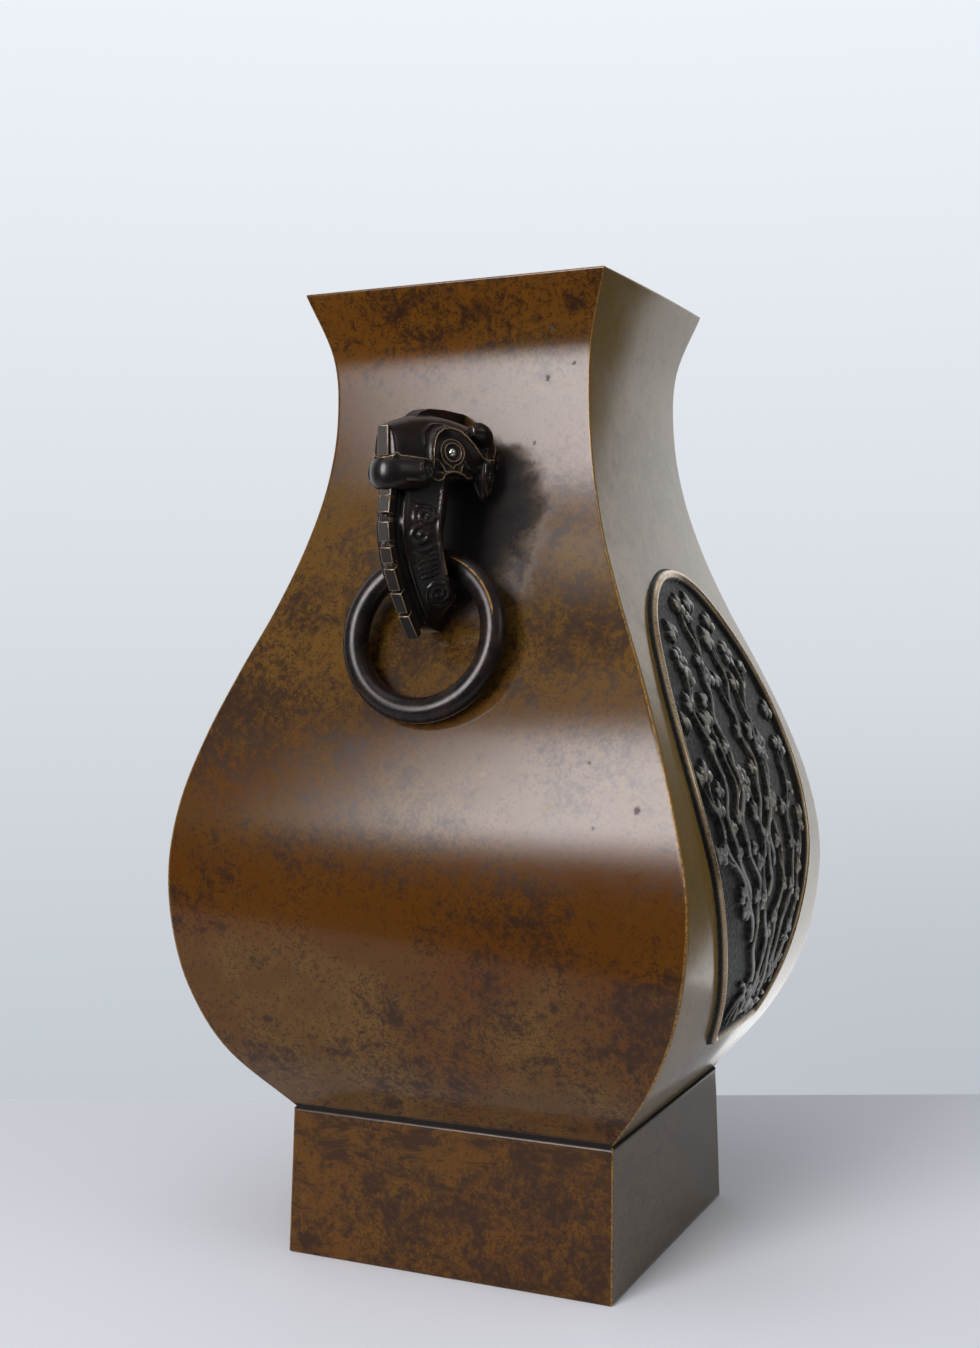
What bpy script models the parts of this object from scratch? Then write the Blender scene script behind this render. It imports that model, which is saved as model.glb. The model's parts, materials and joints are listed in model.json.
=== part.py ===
# Bronze wine vessel: a square-section vase on a tall foot, with a relief panel on two faces
# and, on the other two, a beast-head handle whose trunk holds a loose ring.
# Units are metres, +Z is up, and the origin is at the centre of the foot's underside.
# The handles are on the -Y and +Y faces, and the relief panels are on the +X and -X faces.

import math

import bmesh
import bpy
from mathutils import Matrix, Vector

# Vessel
VESSEL_HEIGHT = 0.380
FOOT_HEIGHT = 0.0577
BELLY_HALF_X = 0.1059
BELLY_HALF_Y = 0.0935
FOOT_LEDGE = 0.0005
FOOT_FLARE_X = 0.0007
FOOT_FLARE_Y = 0.0035
WALL = 0.0035
FLOOR = 0.0045
FOOT_WALL = 0.0050
BODY_STEPS = 22

# The body's half-widths at equal steps of its height, from the foot to the lip,
# as shares of the belly's: PROFILE_X lies between the relief faces, PROFILE_Y between the others
PROFILE_X = (0.635, 0.822, 0.939, 0.992, 1.000, 0.956, 0.881,
             0.788, 0.684, 0.595, 0.535, 0.508, 0.519, 0.597)
PROFILE_Y = (0.673, 0.874, 0.958, 0.994, 1.000, 0.980, 0.912,
             0.815, 0.713, 0.626, 0.568, 0.530, 0.536, 0.617)

# Relief panel: its place above the foot and in from the belly's edges, and its outline,
# which widens from the bottom corners to the waist and closes in an arch
PANEL_RISE = 0.0324
PANEL_HEIGHT = 0.1803
PANEL_MARGIN = 0.0236
PANEL_CORNER_SHARE = 0.435
PANEL_WAIST_SHARE = 0.52
PANEL_SIDE_POWER = 1.8
FRAME_WIDTH = 0.0042
FRAME_HEIGHT = 0.0026
FRAME_SIDE_STEPS = 5
FRAME_ARCH_STEPS = 12
RELIEF_SINK = 0.0012

# Plants on the panel. A stem has its root and its tip as shares of the room beside the panel's
# middle line, its height as a share of the panel's, and its number of waves
STEMS = (
    (-0.62, -0.92, 0.42, 1.0),
    (-0.46, -0.84, 0.64, 1.5),
    (-0.30, -0.50, 0.83, 2.0),
    (-0.12, -0.12, 0.89, 2.0),
    (0.10, 0.16, 0.70, 1.5),
    (0.32, 0.46, 0.82, 2.0),
    (0.52, 0.84, 0.62, 1.5),
    (0.70, 0.90, 0.38, 1.0),
)
STEM_STEPS = 7
STEM_SWAY = 0.05
STEM_WIDTHS = (0.0048, 0.0024)
STEM_HEIGHT = 0.0024
FIRST_LEAF = 2
LEAF_LENGTH = 0.0170
LEAF_WIDTH = 0.0074
LEAF_HEIGHT = 0.0020
LEAF_ANGLE = 40.0
BLOSSOM_PETALS = 5
BLOSSOM_RADIUS = 0.0078
BLOSSOM_NOTCH = 0.70
BLOSSOM_HEIGHT = 0.0023
# A tuft is three leaves from one point: its place across and up, in the same shares
TUFTS = ((-0.88, 0.08), (-0.02, 0.05), (0.96, 0.12), (0.34, 0.30))
PLANT_BASE_SHARE = 0.03
PLANT_MARGIN = 0.0060

# Handles, with their form in shares of their own height
HANDLE_HEIGHT = 0.083
HANDLE_DROP = 0.134
HANDLE_FACE_SHARE = 0.807
SEAT_GAP = 0.0003

# The head from the wall to the snout: distance out, half-width, top and underside
HEAD_SECTIONS = (
    (-0.14, 0.219, 0.930, 0.665),
    (0.08, 0.216, 0.955, 0.655),
    (0.20, 0.208, 0.967, 0.648),
    (0.31, 0.190, 0.970, 0.642),
    (0.41, 0.146, 0.955, 0.636),
    (0.51, 0.108, 0.925, 0.632),
    (0.62, 0.074, 0.895, 0.630),
    (0.695, 0.036, 0.866, 0.636),
)
# Half of a head section, from the top centre to the underside: share of the half-width, of the height
HEAD_OUTLINE = ((0.0, 1.0), (0.42, 0.97), (0.82, 0.80), (1.0, 0.52), (0.96, 0.24), (0.78, 0.04), (0.0, 0.0))
CREST_OUTLINE = ((-0.10, 0.90), (-0.10, 0.995), (0.24, 1.0), (0.325, 0.985), (0.34, 0.93))
CREST_HALF_WIDTH = 0.034

# The face: the eye's place out and up, then lines on the cheek measured from it, toward the snout and up
EYE_PLACE = (0.385, 0.795)
EYE_DISCS = (((0.064, 0.058, 0.034), (-0.050, 0.024, 0.034), 8), ((0.020, 0.014), (0.0, 0.052), 6))
BROW = ((0.118, -0.045), (0.108, 0.050), (0.040, 0.110), (-0.050, 0.100),
        (-0.150, 0.020), (-0.240, -0.020), (-0.330, 0.000), (-0.372, 0.070))
JAW = ((0.130, -0.135), (0.050, -0.125), (-0.050, -0.110), (-0.150, -0.150))
RIDGE_HALF_WIDTH = 0.024
RIDGE_LIFT = 0.038
RIDGE_SINK = 0.050
# Rounded lumps at the nostril and the horn: centre, then radii across, out and up
FACE_LUMPS = (
    ((0.104, 0.490, 0.700), (0.034, 0.050, 0.058)),
    ((0.195, 0.105, 0.880), (0.058, 0.075, 0.052)),
)
# The ear, a lobe against the wall: height, then radii across and out
EAR_SECTIONS = ((0.845, 0.020, 0.030), (0.805, 0.050, 0.060), (0.720, 0.055, 0.062),
                (0.640, 0.036, 0.045), (0.596, 0.012, 0.018))
EAR_PLACE = (0.200, 0.060)
LUMP_STEPS = 4
LUMP_SIDES = 6
LIP_PATH = ((0.104, 0.500), (0.078, 0.580), (0.036, 0.665), (0.0, 0.705))
LIP_LEVEL = 0.692
LIP_RADII = (0.036, 0.072)
LIP_SIDES = 6

# The trunk's front ridge from the head to the wall: distance out, height, and depth of the trunk
TRUNK_RIDGE = (
    (0.587, 0.655, 0.310),
    (0.587, 0.62, 0.310),
    (0.613, 0.48, 0.310),
    (0.592, 0.36, 0.300),
    (0.515, 0.22, 0.260),
    (0.410, 0.09, 0.260),
    (0.320, 0.02, 0.262),
    (0.200, 0.00, 0.262),
    (0.050, 0.00, 0.262),
)
TRUNK_HALF_WIDTH = 0.158
TRUNK_WIDE_DEPTH = 0.13
TRUNK_RIDGE_HALF = 0.030
# Behind its widest place the trunk closes in: share of the half-width, share of the way to its back
TRUNK_BACK = ((0.78, 0.60), (0.25, 1.0))
# Round scrolls: a numbered point of the ridge, then distance across, distance back up, and radius
SCROLLS = ((2, 0.112, 0.020, 0.050), (5, 0.112, 0.012, 0.062))
SCROLL_RINGS = ((1.0, -0.050), (0.94, 0.020), (0.60, 0.028))
SCROLL_SIDES = 8
# The comb of teeth down the ridge: what shares of their pitch the teeth and their webs take up
COMB_ENDS = (1, 6)
TOOTH_COUNT = 7
TOOTH_THICKNESS = 0.0050
TOOTH_PROUD = 0.0090
TOOTH_SHARE = 0.92
TOOTH_DEPTH_SHARE = 0.55
WEB_SHARE = 0.42
WEB_THICKNESS_SHARE = 0.6

# Rings
RING_RADIUS = 0.0284
RING_TUBE = 0.0049
RING_STANDOFF = 0.0137
RING_PLAY = 0.0005
LOOP_ROOM = 0.0018
RING_STEPS = 26
RING_SIDES = 8

SHARP_ANGLE = 40.0

# Worked out from the values above
PANEL_BOTTOM = FOOT_HEIGHT + PANEL_RISE
PANEL_TOP = PANEL_BOTTOM + PANEL_HEIGHT
PANEL_HALF_WIDTH = BELLY_HALF_Y - PANEL_MARGIN
HANDLE_BASE = VESSEL_HEIGHT - HANDLE_DROP


def clear_scene():
    for obj in list(bpy.data.objects):
        bpy.data.objects.remove(obj, do_unlink=True)


def bronze(name, colour, roughness):
    material = bpy.data.materials.new(name)
    material.use_nodes = True
    shader = material.node_tree.nodes["Principled BSDF"]
    shader.inputs["Base Color"].default_value = (*colour, 1.0)
    shader.inputs["Metallic"].default_value = 1.0
    shader.inputs["Roughness"].default_value = roughness
    return material


def make_object(name, bm, material=None):
    bmesh.ops.recalc_face_normals(bm, faces=bm.faces[:])
    mesh = bpy.data.meshes.new(name)
    bm.to_mesh(mesh)
    bm.free()
    obj = bpy.data.objects.new(name, mesh)
    bpy.context.scene.collection.objects.link(obj)
    if material is not None:
        mesh.materials.append(material)
    return obj


def boolean(target, other, operation):
    # Replaces the target's mesh by the result and removes the other object
    modifier = target.modifiers.new(operation.lower(), "BOOLEAN")
    modifier.operation = operation
    modifier.solver = "EXACT"
    modifier.use_self = True
    modifier.object = other
    graph = bpy.context.evaluated_depsgraph_get()
    result = bpy.data.meshes.new_from_object(target.evaluated_get(graph))
    target.modifiers.clear()
    target.data = result
    bpy.data.objects.remove(other, do_unlink=True)


def smooth_shading(mesh):
    mesh.shade_smooth()
    mesh.set_sharp_from_angle(angle=math.radians(SHARP_ANGLE))


def curve_value(values, share):
    # A smooth curve through values at equal steps, read at a share of its length
    last = len(values) - 1
    index = min(max(int(share * last), 0), last - 1)
    t = share * last - index
    p1, p2 = values[index], values[index + 1]
    p0 = values[index - 1] if index > 0 else 2 * p1 - p2
    p3 = values[index + 2] if index + 2 <= last else 2 * p2 - p1
    return 0.5 * (2 * p1 + (p2 - p0) * t + (2 * p0 - 5 * p1 + 4 * p2 - p3) * t ** 2
                  + (3 * p1 - p0 - 3 * p2 + p3) * t ** 3)


def smooth_path(points, steps):
    # Points along a smooth curve, the same number of steps between each two given points
    columns = list(zip(*points))
    count = steps * (len(points) - 1)
    return [tuple(curve_value(column, i / count) for column in columns) for i in range(count + 1)]


def line_value(table, at):
    # Straight-line reading of a table of (place, value, ...) rows, their places rising
    row = max(i for i in range(len(table) - 1) if i == 0 or table[i][0] <= at)
    low, high = table[row], table[row + 1]
    share = min(max((at - low[0]) / (high[0] - low[0]), 0.0), 1.0)
    return [a + (b - a) * share for a, b in zip(low[1:], high[1:])]


def body_share(z):
    return (z - FOOT_HEIGHT) / (VESSEL_HEIGHT - FOOT_HEIGHT)


def half_x(z):
    return BELLY_HALF_X * curve_value(PROFILE_X, body_share(z))


def half_y(z):
    return BELLY_HALF_Y * curve_value(PROFILE_Y, body_share(z))


def slope(half_width, z):
    step = 0.0005
    return (half_width(z + step) - half_width(z - step)) / (2 * step)


def inner_half(half_width, z):
    # The inside face lies one wall thickness in, measured square to the wall
    return half_width(z) - WALL * math.hypot(1.0, slope(half_width, z))


def skin_rings(bm, rings):
    # Joins rings of equal length and closes both ends
    loops = [[bm.verts.new(point) for point in ring] for ring in rings]
    for lower, upper in zip(loops, loops[1:]):
        for i in range(len(lower)):
            j = (i + 1) % len(lower)
            bm.faces.new((lower[i], lower[j], upper[j], upper[i]))
    bm.faces.new(loops[0][::-1])
    bm.faces.new(loops[-1])


def rectangle(half_width, half_depth, z):
    return [(half_width, -half_depth, z), (half_width, half_depth, z),
            (-half_width, half_depth, z), (-half_width, -half_depth, z)]


def vessel_shell():
    # One closed surface: the foot's ceiling, its inside, its outside, the body, the lip,
    # and down the inside to the floor
    heights = [FOOT_HEIGHT + (VESSEL_HEIGHT - FOOT_HEIGHT) * i / BODY_STEPS for i in range(BODY_STEPS + 1)]
    top_x, top_y = half_x(FOOT_HEIGHT) + FOOT_LEDGE, half_y(FOOT_HEIGHT) + FOOT_LEDGE
    base_x, base_y = top_x + FOOT_FLARE_X, top_y + FOOT_FLARE_Y
    ceiling = FOOT_HEIGHT - FOOT_LEDGE
    rings = [
        rectangle(top_x - FOOT_WALL, top_y - FOOT_WALL, ceiling),
        rectangle(base_x - FOOT_WALL, base_y - FOOT_WALL, 0.0),
        rectangle(base_x, base_y, 0.0),
        rectangle(top_x, top_y, ceiling),
    ]
    rings += [rectangle(half_x(z), half_y(z), z) for z in heights]
    floor = ceiling + FLOOR
    inside = [z for z in heights if z > floor + WALL / 2]
    rings += [rectangle(inner_half(half_x, z), inner_half(half_y, z), z) for z in reversed(inside)]
    rings.append(rectangle(inner_half(half_x, floor), inner_half(half_y, floor), floor))
    bm = bmesh.new()
    skin_rings(bm, rings)
    return bm


def panel_half_width(z):
    t = (z - PANEL_BOTTOM) / PANEL_HEIGHT
    if t < PANEL_WAIST_SHARE:
        lean = (1.0 - t / PANEL_WAIST_SHARE) ** PANEL_SIDE_POWER
        return PANEL_HALF_WIDTH * (1.0 - (1.0 - PANEL_CORNER_SHARE) * lean)
    up = min((t - PANEL_WAIST_SHARE) / (1.0 - PANEL_WAIST_SHARE), 1.0)
    return PANEL_HALF_WIDTH * math.sqrt(1.0 - up * up)


def panel_outline():
    # Right-hand side from the bottom corner up to the top of the arch, then its mirror image
    waist = PANEL_BOTTOM + PANEL_WAIST_SHARE * PANEL_HEIGHT
    side = []
    for i in range(FRAME_SIDE_STEPS):
        z = PANEL_BOTTOM + (waist - PANEL_BOTTOM) * i / FRAME_SIDE_STEPS
        side.append((panel_half_width(z), z))
    for i in range(FRAME_ARCH_STEPS // 2):
        angle = math.pi * i / FRAME_ARCH_STEPS
        side.append((PANEL_HALF_WIDTH * math.cos(angle), waist + (PANEL_TOP - waist) * math.sin(angle)))
    return side + [(0.0, PANEL_TOP)] + [(-y, z) for y, z in reversed(side)]


def on_wall(y, z, height):
    # A point of the +X face, raised by height square to the wall
    lean = slope(half_x, z)
    length = math.hypot(1.0, lean)
    return Vector((half_x(z) + height / length, y, z - height * lean / length))


def inset_point(before, point, after, distance):
    # Moves a corner of a counter-clockwise outline inwards
    a = (Vector(point) - Vector(before)).normalized()
    b = (Vector(after) - Vector(point)).normalized()
    inward = Vector((-a.y - b.y, a.x + b.x)).normalized()
    return Vector(point) + inward * distance / max(inward.dot(Vector((-a.y, a.x))), 0.5)


def frame_moulding(bm):
    outline = panel_outline()
    count = len(outline)
    profile = ((0.0, -RELIEF_SINK), (0.22, FRAME_HEIGHT), (0.78, FRAME_HEIGHT), (1.0, -RELIEF_SINK))
    loops = []
    for i in range(count):
        ring = []
        for across, height in profile:
            spot = inset_point(outline[i - 1], outline[i], outline[(i + 1) % count], across * FRAME_WIDTH)
            ring.append(bm.verts.new(on_wall(spot.x, spot.y, height)))
        loops.append(ring)
    for i in range(count):
        here, there = loops[i], loops[(i + 1) % count]
        for j in range(len(profile)):
            k = (j + 1) % len(profile)
            bm.faces.new((here[j], here[k], there[k], there[j]))


def plant_point(across, up):
    # A place on the panel from shares of the room beside its middle line and of its height
    z = PANEL_BOTTOM + PANEL_HEIGHT * up
    return Vector((across * (panel_half_width(z) - FRAME_WIDTH - PLANT_MARGIN), z))


def stem_path(root, tip, height, waves):
    path = []
    for i in range(STEM_STEPS + 1):
        t = i / STEM_STEPS
        sway = STEM_SWAY * math.sin(2 * math.pi * waves * t)
        up = PLANT_BASE_SHARE + (height - PLANT_BASE_SHARE) * t
        path.append(plant_point(root + (tip - root) * t + sway, up))
    return path


def stem(bm, path):
    # A ridge along a path on the wall, its foot sunk into the wall
    last = len(path) - 1
    rings = []
    for i, point in enumerate(path):
        along = (path[min(i + 1, last)] - path[max(i - 1, 0)]).normalized()
        half = 0.5 * (STEM_WIDTHS[0] + (STEM_WIDTHS[1] - STEM_WIDTHS[0]) * i / last)
        side = Vector((-along.y, along.x)) * half
        left, right = point + side, point - side
        rings.append([on_wall(left.x, left.y, -RELIEF_SINK), on_wall(point.x, point.y, STEM_HEIGHT),
                      on_wall(right.x, right.y, -RELIEF_SINK)])
    skin_rings(bm, rings)


def leaf(bm, root, direction):
    # A pointed leaf raised to a peak, left out where it would cross the frame
    tip = root + direction * LEAF_LENGTH
    if abs(tip.x) > panel_half_width(tip.y) - 1.5 * FRAME_WIDTH or tip.y > PANEL_TOP - 1.5 * FRAME_WIDTH:
        return
    across = Vector((-direction.y, direction.x)) * LEAF_WIDTH / 2
    belly = root + direction * LEAF_LENGTH * 0.42
    base = [bm.verts.new(on_wall(spot.x, spot.y, -RELIEF_SINK))
            for spot in (root, belly + across, tip, belly - across)]
    rib = bm.verts.new(on_wall(belly.x, belly.y, LEAF_HEIGHT))
    for i in range(4):
        bm.faces.new((base[i], base[i - 1], rib))
    bm.faces.new(base)


def turned(direction, degrees):
    return Matrix.Rotation(math.radians(degrees), 2) @ direction


def leafy_stem(bm, path, first_side):
    # Leaves stand left and right by turns above the bare foot of the stem
    stem(bm, path)
    for i in range(FIRST_LEAF, len(path) - 1):
        side = first_side if i % 2 else -first_side
        leaf(bm, path[i], turned((path[i + 1] - path[i]).normalized(), side * LEAF_ANGLE))


def tuft(bm, root):
    for angle in (-LEAF_ANGLE, 0.0, LEAF_ANGLE):
        leaf(bm, root, turned(Vector((0.0, 1.0)), angle))


def blossom(bm, centre):
    # Petals with blunt ends round a hollow heart
    pitch = 360.0 / BLOSSOM_PETALS
    outline = []
    for petal in range(BLOSSOM_PETALS):
        for turn, share in ((-0.25, 1.0), (0.25, 1.0), (0.5, BLOSSOM_NOTCH)):
            outline.append(turned(Vector((0.0, BLOSSOM_RADIUS * share)), (petal + turn) * pitch))
    rings = []
    for share, lift in ((1.0, -RELIEF_SINK), (0.86, BLOSSOM_HEIGHT)):
        spots = [centre + point * share for point in outline]
        rings.append([bm.verts.new(on_wall(spot.x, spot.y, lift)) for spot in spots])
    heart = bm.verts.new(on_wall(centre.x, centre.y, BLOSSOM_HEIGHT * 0.4))
    foot, top = rings
    for i in range(len(foot)):
        j = (i + 1) % len(foot)
        bm.faces.new((foot[i], foot[j], top[j], top[i]))
        bm.faces.new((top[i], top[j], heart))
    bm.faces.new(foot[::-1])


def relief_panel():
    bm = bmesh.new()
    frame_moulding(bm)
    for number, row in enumerate(STEMS):
        path = stem_path(*row)
        leafy_stem(bm, path, 1 if number % 2 else -1)
        blossom(bm, path[-1] + (path[-1] - path[-2]).normalized() * BLOSSOM_RADIUS * BLOSSOM_NOTCH)
    for across, up in TUFTS:
        tuft(bm, plant_point(across, up))
    return bm


def build_vessel(material):
    vessel = make_object("vessel", vessel_shell(), material)
    for name, angle in (("panel_right", 0.0), ("panel_left", math.pi)):
        bm = relief_panel()
        bmesh.ops.rotate(bm, verts=bm.verts[:], cent=(0, 0, 0), matrix=Matrix.Rotation(angle, 3, "Z"))
        boolean(vessel, make_object(name, bm), "UNION")
    smooth_shading(vessel.data)


def handle_point(x, out, up):
    # From shares of the handle's height to the front face, which looks along -Y
    face = half_y(HANDLE_BASE + HANDLE_FACE_SHARE * HANDLE_HEIGHT)
    return Vector((x * HANDLE_HEIGHT, -(face + out * HANDLE_HEIGHT), HANDLE_BASE + up * HANDLE_HEIGHT))


def ring_pivot():
    # The centre of the ring's tube where it lies in the handle's loop
    z = HANDLE_BASE + TRUNK_RIDGE[-1][2] * HANDLE_HEIGHT + RING_PLAY + RING_TUBE
    return Vector((0.0, -(half_y(z) + RING_STANDOFF), z))


def handle_head(bm):
    rings = []
    for out, half_width, top, under in HEAD_SECTIONS:
        half = [(half_width * a, under + (top - under) * b) for a, b in HEAD_OUTLINE]
        ring = half + [(-x, up) for x, up in reversed(half[1:-1])]
        rings.append([handle_point(x, out, up) for x, up in ring])
    skin_rings(bm, rings)


def crest_plate(bm):
    rings = [[handle_point(x, out, up) for out, up in CREST_OUTLINE]
             for x in (-CREST_HALF_WIDTH, CREST_HALF_WIDTH)]
    skin_rings(bm, rings)


def cheek_point(side, toward_snout, up, lift):
    # A point on the head's cheek, measured from the eye and raised off the cheek by lift
    slant = 0.92
    out = EYE_PLACE[0] + toward_snout * slant
    half_width, top, under = line_value(HEAD_SECTIONS, out)
    level = EYE_PLACE[1] + up
    outline = [(b, a) for a, b in reversed(HEAD_OUTLINE[1:-1])]
    share = line_value(outline, (level - under) / (top - under))[0]
    step = 0.05
    narrowing = (line_value(HEAD_SECTIONS, out - step)[0] - line_value(HEAD_SECTIONS, out + step)[0]) / (2 * step)
    normal = Vector((1.0, narrowing)).normalized()
    return handle_point(side * (half_width * share + lift * normal.x), out + lift * normal.y, level)


def cheek_disc(bm, side, radii, lifts, sides):
    rings = []
    for radius, lift in zip(radii, lifts):
        ring = []
        for i in range(sides):
            angle = 2 * math.pi * i / sides
            ring.append(cheek_point(side, radius * math.cos(angle), radius * math.sin(angle), lift))
        rings.append(ring)
    skin_rings(bm, rings)


def cheek_ridge(bm, side, path):
    rings = []
    last = len(path) - 1
    for i, point in enumerate(path):
        before, after = Vector(path[max(i - 1, 0)]), Vector(path[min(i + 1, last)])
        along = (after - before).normalized()
        across = Vector((-along.y, along.x)) * RIDGE_HALF_WIDTH
        a, b = Vector(point) - across, Vector(point) + across
        rings.append([cheek_point(side, a.x, a.y, -RIDGE_SINK), cheek_point(side, *point, RIDGE_LIFT),
                      cheek_point(side, b.x, b.y, -RIDGE_SINK)])
    skin_rings(bm, rings)


def rounded_lump(bm, side, centre, radii):
    # A ball drawn out along x, out and up, with its poles at its sides
    rings = []
    for i in range(1, LUMP_STEPS):
        polar = math.pi * i / LUMP_STEPS
        ring = []
        for j in range(LUMP_SIDES):
            angle = 2 * math.pi * j / LUMP_SIDES
            x = centre[0] + radii[0] * math.cos(polar)
            out = centre[1] + radii[1] * math.sin(polar) * math.cos(angle)
            up = centre[2] + radii[2] * math.sin(polar) * math.sin(angle)
            ring.append(handle_point(side * x, out, up))
        rings.append(ring)
    skin_rings(bm, rings)


def ear(bm, side):
    rings = []
    for up, across, depth in EAR_SECTIONS:
        ring = []
        for j in range(LUMP_SIDES):
            angle = 2 * math.pi * j / LUMP_SIDES
            x = EAR_PLACE[0] + across * math.cos(angle)
            ring.append(handle_point(side * x, EAR_PLACE[1] + depth * math.sin(angle), up))
        rings.append(ring)
    skin_rings(bm, rings)


def handle_face(bm):
    for side in (1, -1):
        for radii, lifts, sides in EYE_DISCS:
            cheek_disc(bm, side, radii, lifts, sides)
        cheek_ridge(bm, side, BROW)
        cheek_ridge(bm, side, JAW)
        for centre, radii in FACE_LUMPS:
            rounded_lump(bm, side, centre, radii)
        ear(bm, side)


def handle_lip(bm):
    # A rounded roll round the snout, upright in section
    right = [Vector((x, out, LIP_LEVEL)) for x, out in LIP_PATH]
    path = right + [Vector((-spot.x, spot.y, spot.z)) for spot in reversed(right[:-1])]
    last = len(path) - 1
    rings = []
    for i, point in enumerate(path):
        along = (path[min(i + 1, last)] - path[max(i - 1, 0)]).normalized()
        across = along.cross(Vector((0, 0, 1))).normalized()
        ring = []
        for j in range(LIP_SIDES):
            angle = 2 * math.pi * j / LIP_SIDES
            shift = across * LIP_RADII[0] * math.cos(angle)
            rise = LIP_RADII[1] * math.sin(angle)
            ring.append(handle_point(point.x + shift.x, point.y + shift.y, point.z + rise))
        rings.append(ring)
    skin_rings(bm, rings)


def ridge_frame(index):
    # A point of the trunk's front ridge, and the direction from it into the trunk
    last = len(TRUNK_RIDGE) - 1
    before, after = TRUNK_RIDGE[max(index - 1, 0)], TRUNK_RIDGE[min(index + 1, last)]
    along = Vector((after[0] - before[0], after[1] - before[1])).normalized()
    return Vector(TRUNK_RIDGE[index][:2]), Vector((along.y, -along.x))


def trunk_depth(index):
    # The trunk's own depth, or less where the ring's tube needs the room
    point, _ = ridge_frame(index)
    room = (handle_point(0.0, point.x, point.y) - ring_pivot()).length - RING_TUBE - LOOP_ROOM
    return min(TRUNK_RIDGE[index][2], room / HANDLE_HEIGHT)


def trunk_wide_depth(index):
    # How far behind the ridge the trunk is widest
    return min(TRUNK_WIDE_DEPTH, 0.55 * trunk_depth(index))


def handle_trunk(bm):
    rings = []
    for index in range(len(TRUNK_RIDGE)):
        ridge, inward = ridge_frame(index)
        wide = trunk_wide_depth(index)
        behind = trunk_depth(index) - wide
        half = [(TRUNK_RIDGE_HALF, 0.0), (TRUNK_HALF_WIDTH, wide)]
        half += [(TRUNK_HALF_WIDTH * narrow, wide + behind * back) for narrow, back in TRUNK_BACK]
        ring = half + [(-x, depth) for x, depth in reversed(half)]
        spots = [(x, ridge + inward * depth) for x, depth in ring]
        rings.append([handle_point(x, spot.x, spot.y) for x, spot in spots])
    skin_rings(bm, rings)


def trunk_face_point(side, index, across, back_up, lift):
    # A point on one of the trunk's two slanting front faces, raised off it by lift:
    # across runs from the ridge to the edge, and back_up runs up the ridge from a numbered point
    ridge, inward = ridge_frame(index)
    upward = Vector((inward.y, -inward.x))
    slant = Vector((TRUNK_HALF_WIDTH - TRUNK_RIDGE_HALF, trunk_wide_depth(index))).normalized()
    normal = Vector((slant.y, -slant.x))
    x = TRUNK_RIDGE_HALF + slant.x * across + normal.x * lift
    spot = ridge + inward * (slant.y * across + normal.y * lift) + upward * back_up
    return handle_point(side * x, spot.x, spot.y)


def trunk_scrolls(bm):
    for side in (1, -1):
        for index, across, back_up, radius in SCROLLS:
            rings = []
            for share, lift in SCROLL_RINGS:
                ring = []
                for i in range(SCROLL_SIDES):
                    angle = 2 * math.pi * i / SCROLL_SIDES
                    ring.append(trunk_face_point(side, index, across + radius * share * math.cos(angle),
                                                 back_up + radius * share * math.sin(angle), lift))
                rings.append(ring)
            skin_rings(bm, rings)


def oriented_block(bm, centre, along, out, half_length, half_proud, half_thickness):
    rings = []
    for a in (-1, 1):
        ring = []
        for x, o in ((-1, -1), (1, -1), (1, 1), (-1, 1)):
            spot = centre + along * a * half_length + out * o * half_proud
            ring.append(handle_point(x * half_thickness, spot.x, spot.y))
        rings.append(ring)
    skin_rings(bm, rings)


def handle_comb(bm):
    # Square teeth stand off the trunk's ridge, each on a narrower web
    ridge = [point[:2] for point in TRUNK_RIDGE[COMB_ENDS[0]:COMB_ENDS[1]]]
    fine = [Vector(point) for point in smooth_path(ridge, 8)]
    lengths = [0.0]
    for here, there in zip(fine, fine[1:]):
        lengths.append(lengths[-1] + (there - here).length)
    pitch = lengths[-1] / TOOTH_COUNT
    proud = TOOTH_PROUD / HANDLE_HEIGHT
    half_thickness = TOOTH_THICKNESS / HANDLE_HEIGHT / 2
    half_depth = proud * TOOTH_DEPTH_SHARE / 2
    for tooth in range(TOOTH_COUNT):
        target = (tooth + 0.5) * pitch
        index = max(i for i, length in enumerate(lengths) if length <= target)
        along = (fine[index + 1] - fine[index]).normalized()
        out = Vector((-along.y, along.x))
        root = fine[index] + along * (target - lengths[index])
        oriented_block(bm, root + out * (proud - half_depth), along, out,
                       TOOTH_SHARE * pitch / 2, half_depth, half_thickness)
        oriented_block(bm, root + out * half_depth / 2, along, out,
                       WEB_SHARE * pitch / 2, proud - 1.5 * half_depth, half_thickness * WEB_THICKNESS_SHARE)


def wall_block():
    # The space that the vessel's wall and inside take up, with the seat gap round it
    bm = bmesh.new()
    low = HANDLE_BASE - HANDLE_HEIGHT / 4
    high = min(HANDLE_BASE + HANDLE_HEIGHT * 1.25, VESSEL_HEIGHT)
    count = 8
    rings = []
    for i in range(count + 1):
        z = low + (high - low) * i / count
        rings.append(rectangle(HANDLE_HEIGHT, half_y(z) + SEAT_GAP * math.hypot(1.0, slope(half_y, z)), z))
    skin_rings(bm, rings)
    return bm


def build_handle_mesh(material):
    head = bmesh.new()
    handle_head(head)
    handle = make_object("handle_form", head, material)
    carving = bmesh.new()
    crest_plate(carving)
    handle_face(carving)
    handle_lip(carving)
    handle_trunk(carving)
    trunk_scrolls(carving)
    handle_comb(carving)
    boolean(handle, make_object("handle_carving", carving), "UNION")
    boolean(handle, make_object("wall_block", wall_block()), "DIFFERENCE")
    mesh = handle.data
    smooth_shading(mesh)
    bpy.data.objects.remove(handle, do_unlink=True)
    return mesh


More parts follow.
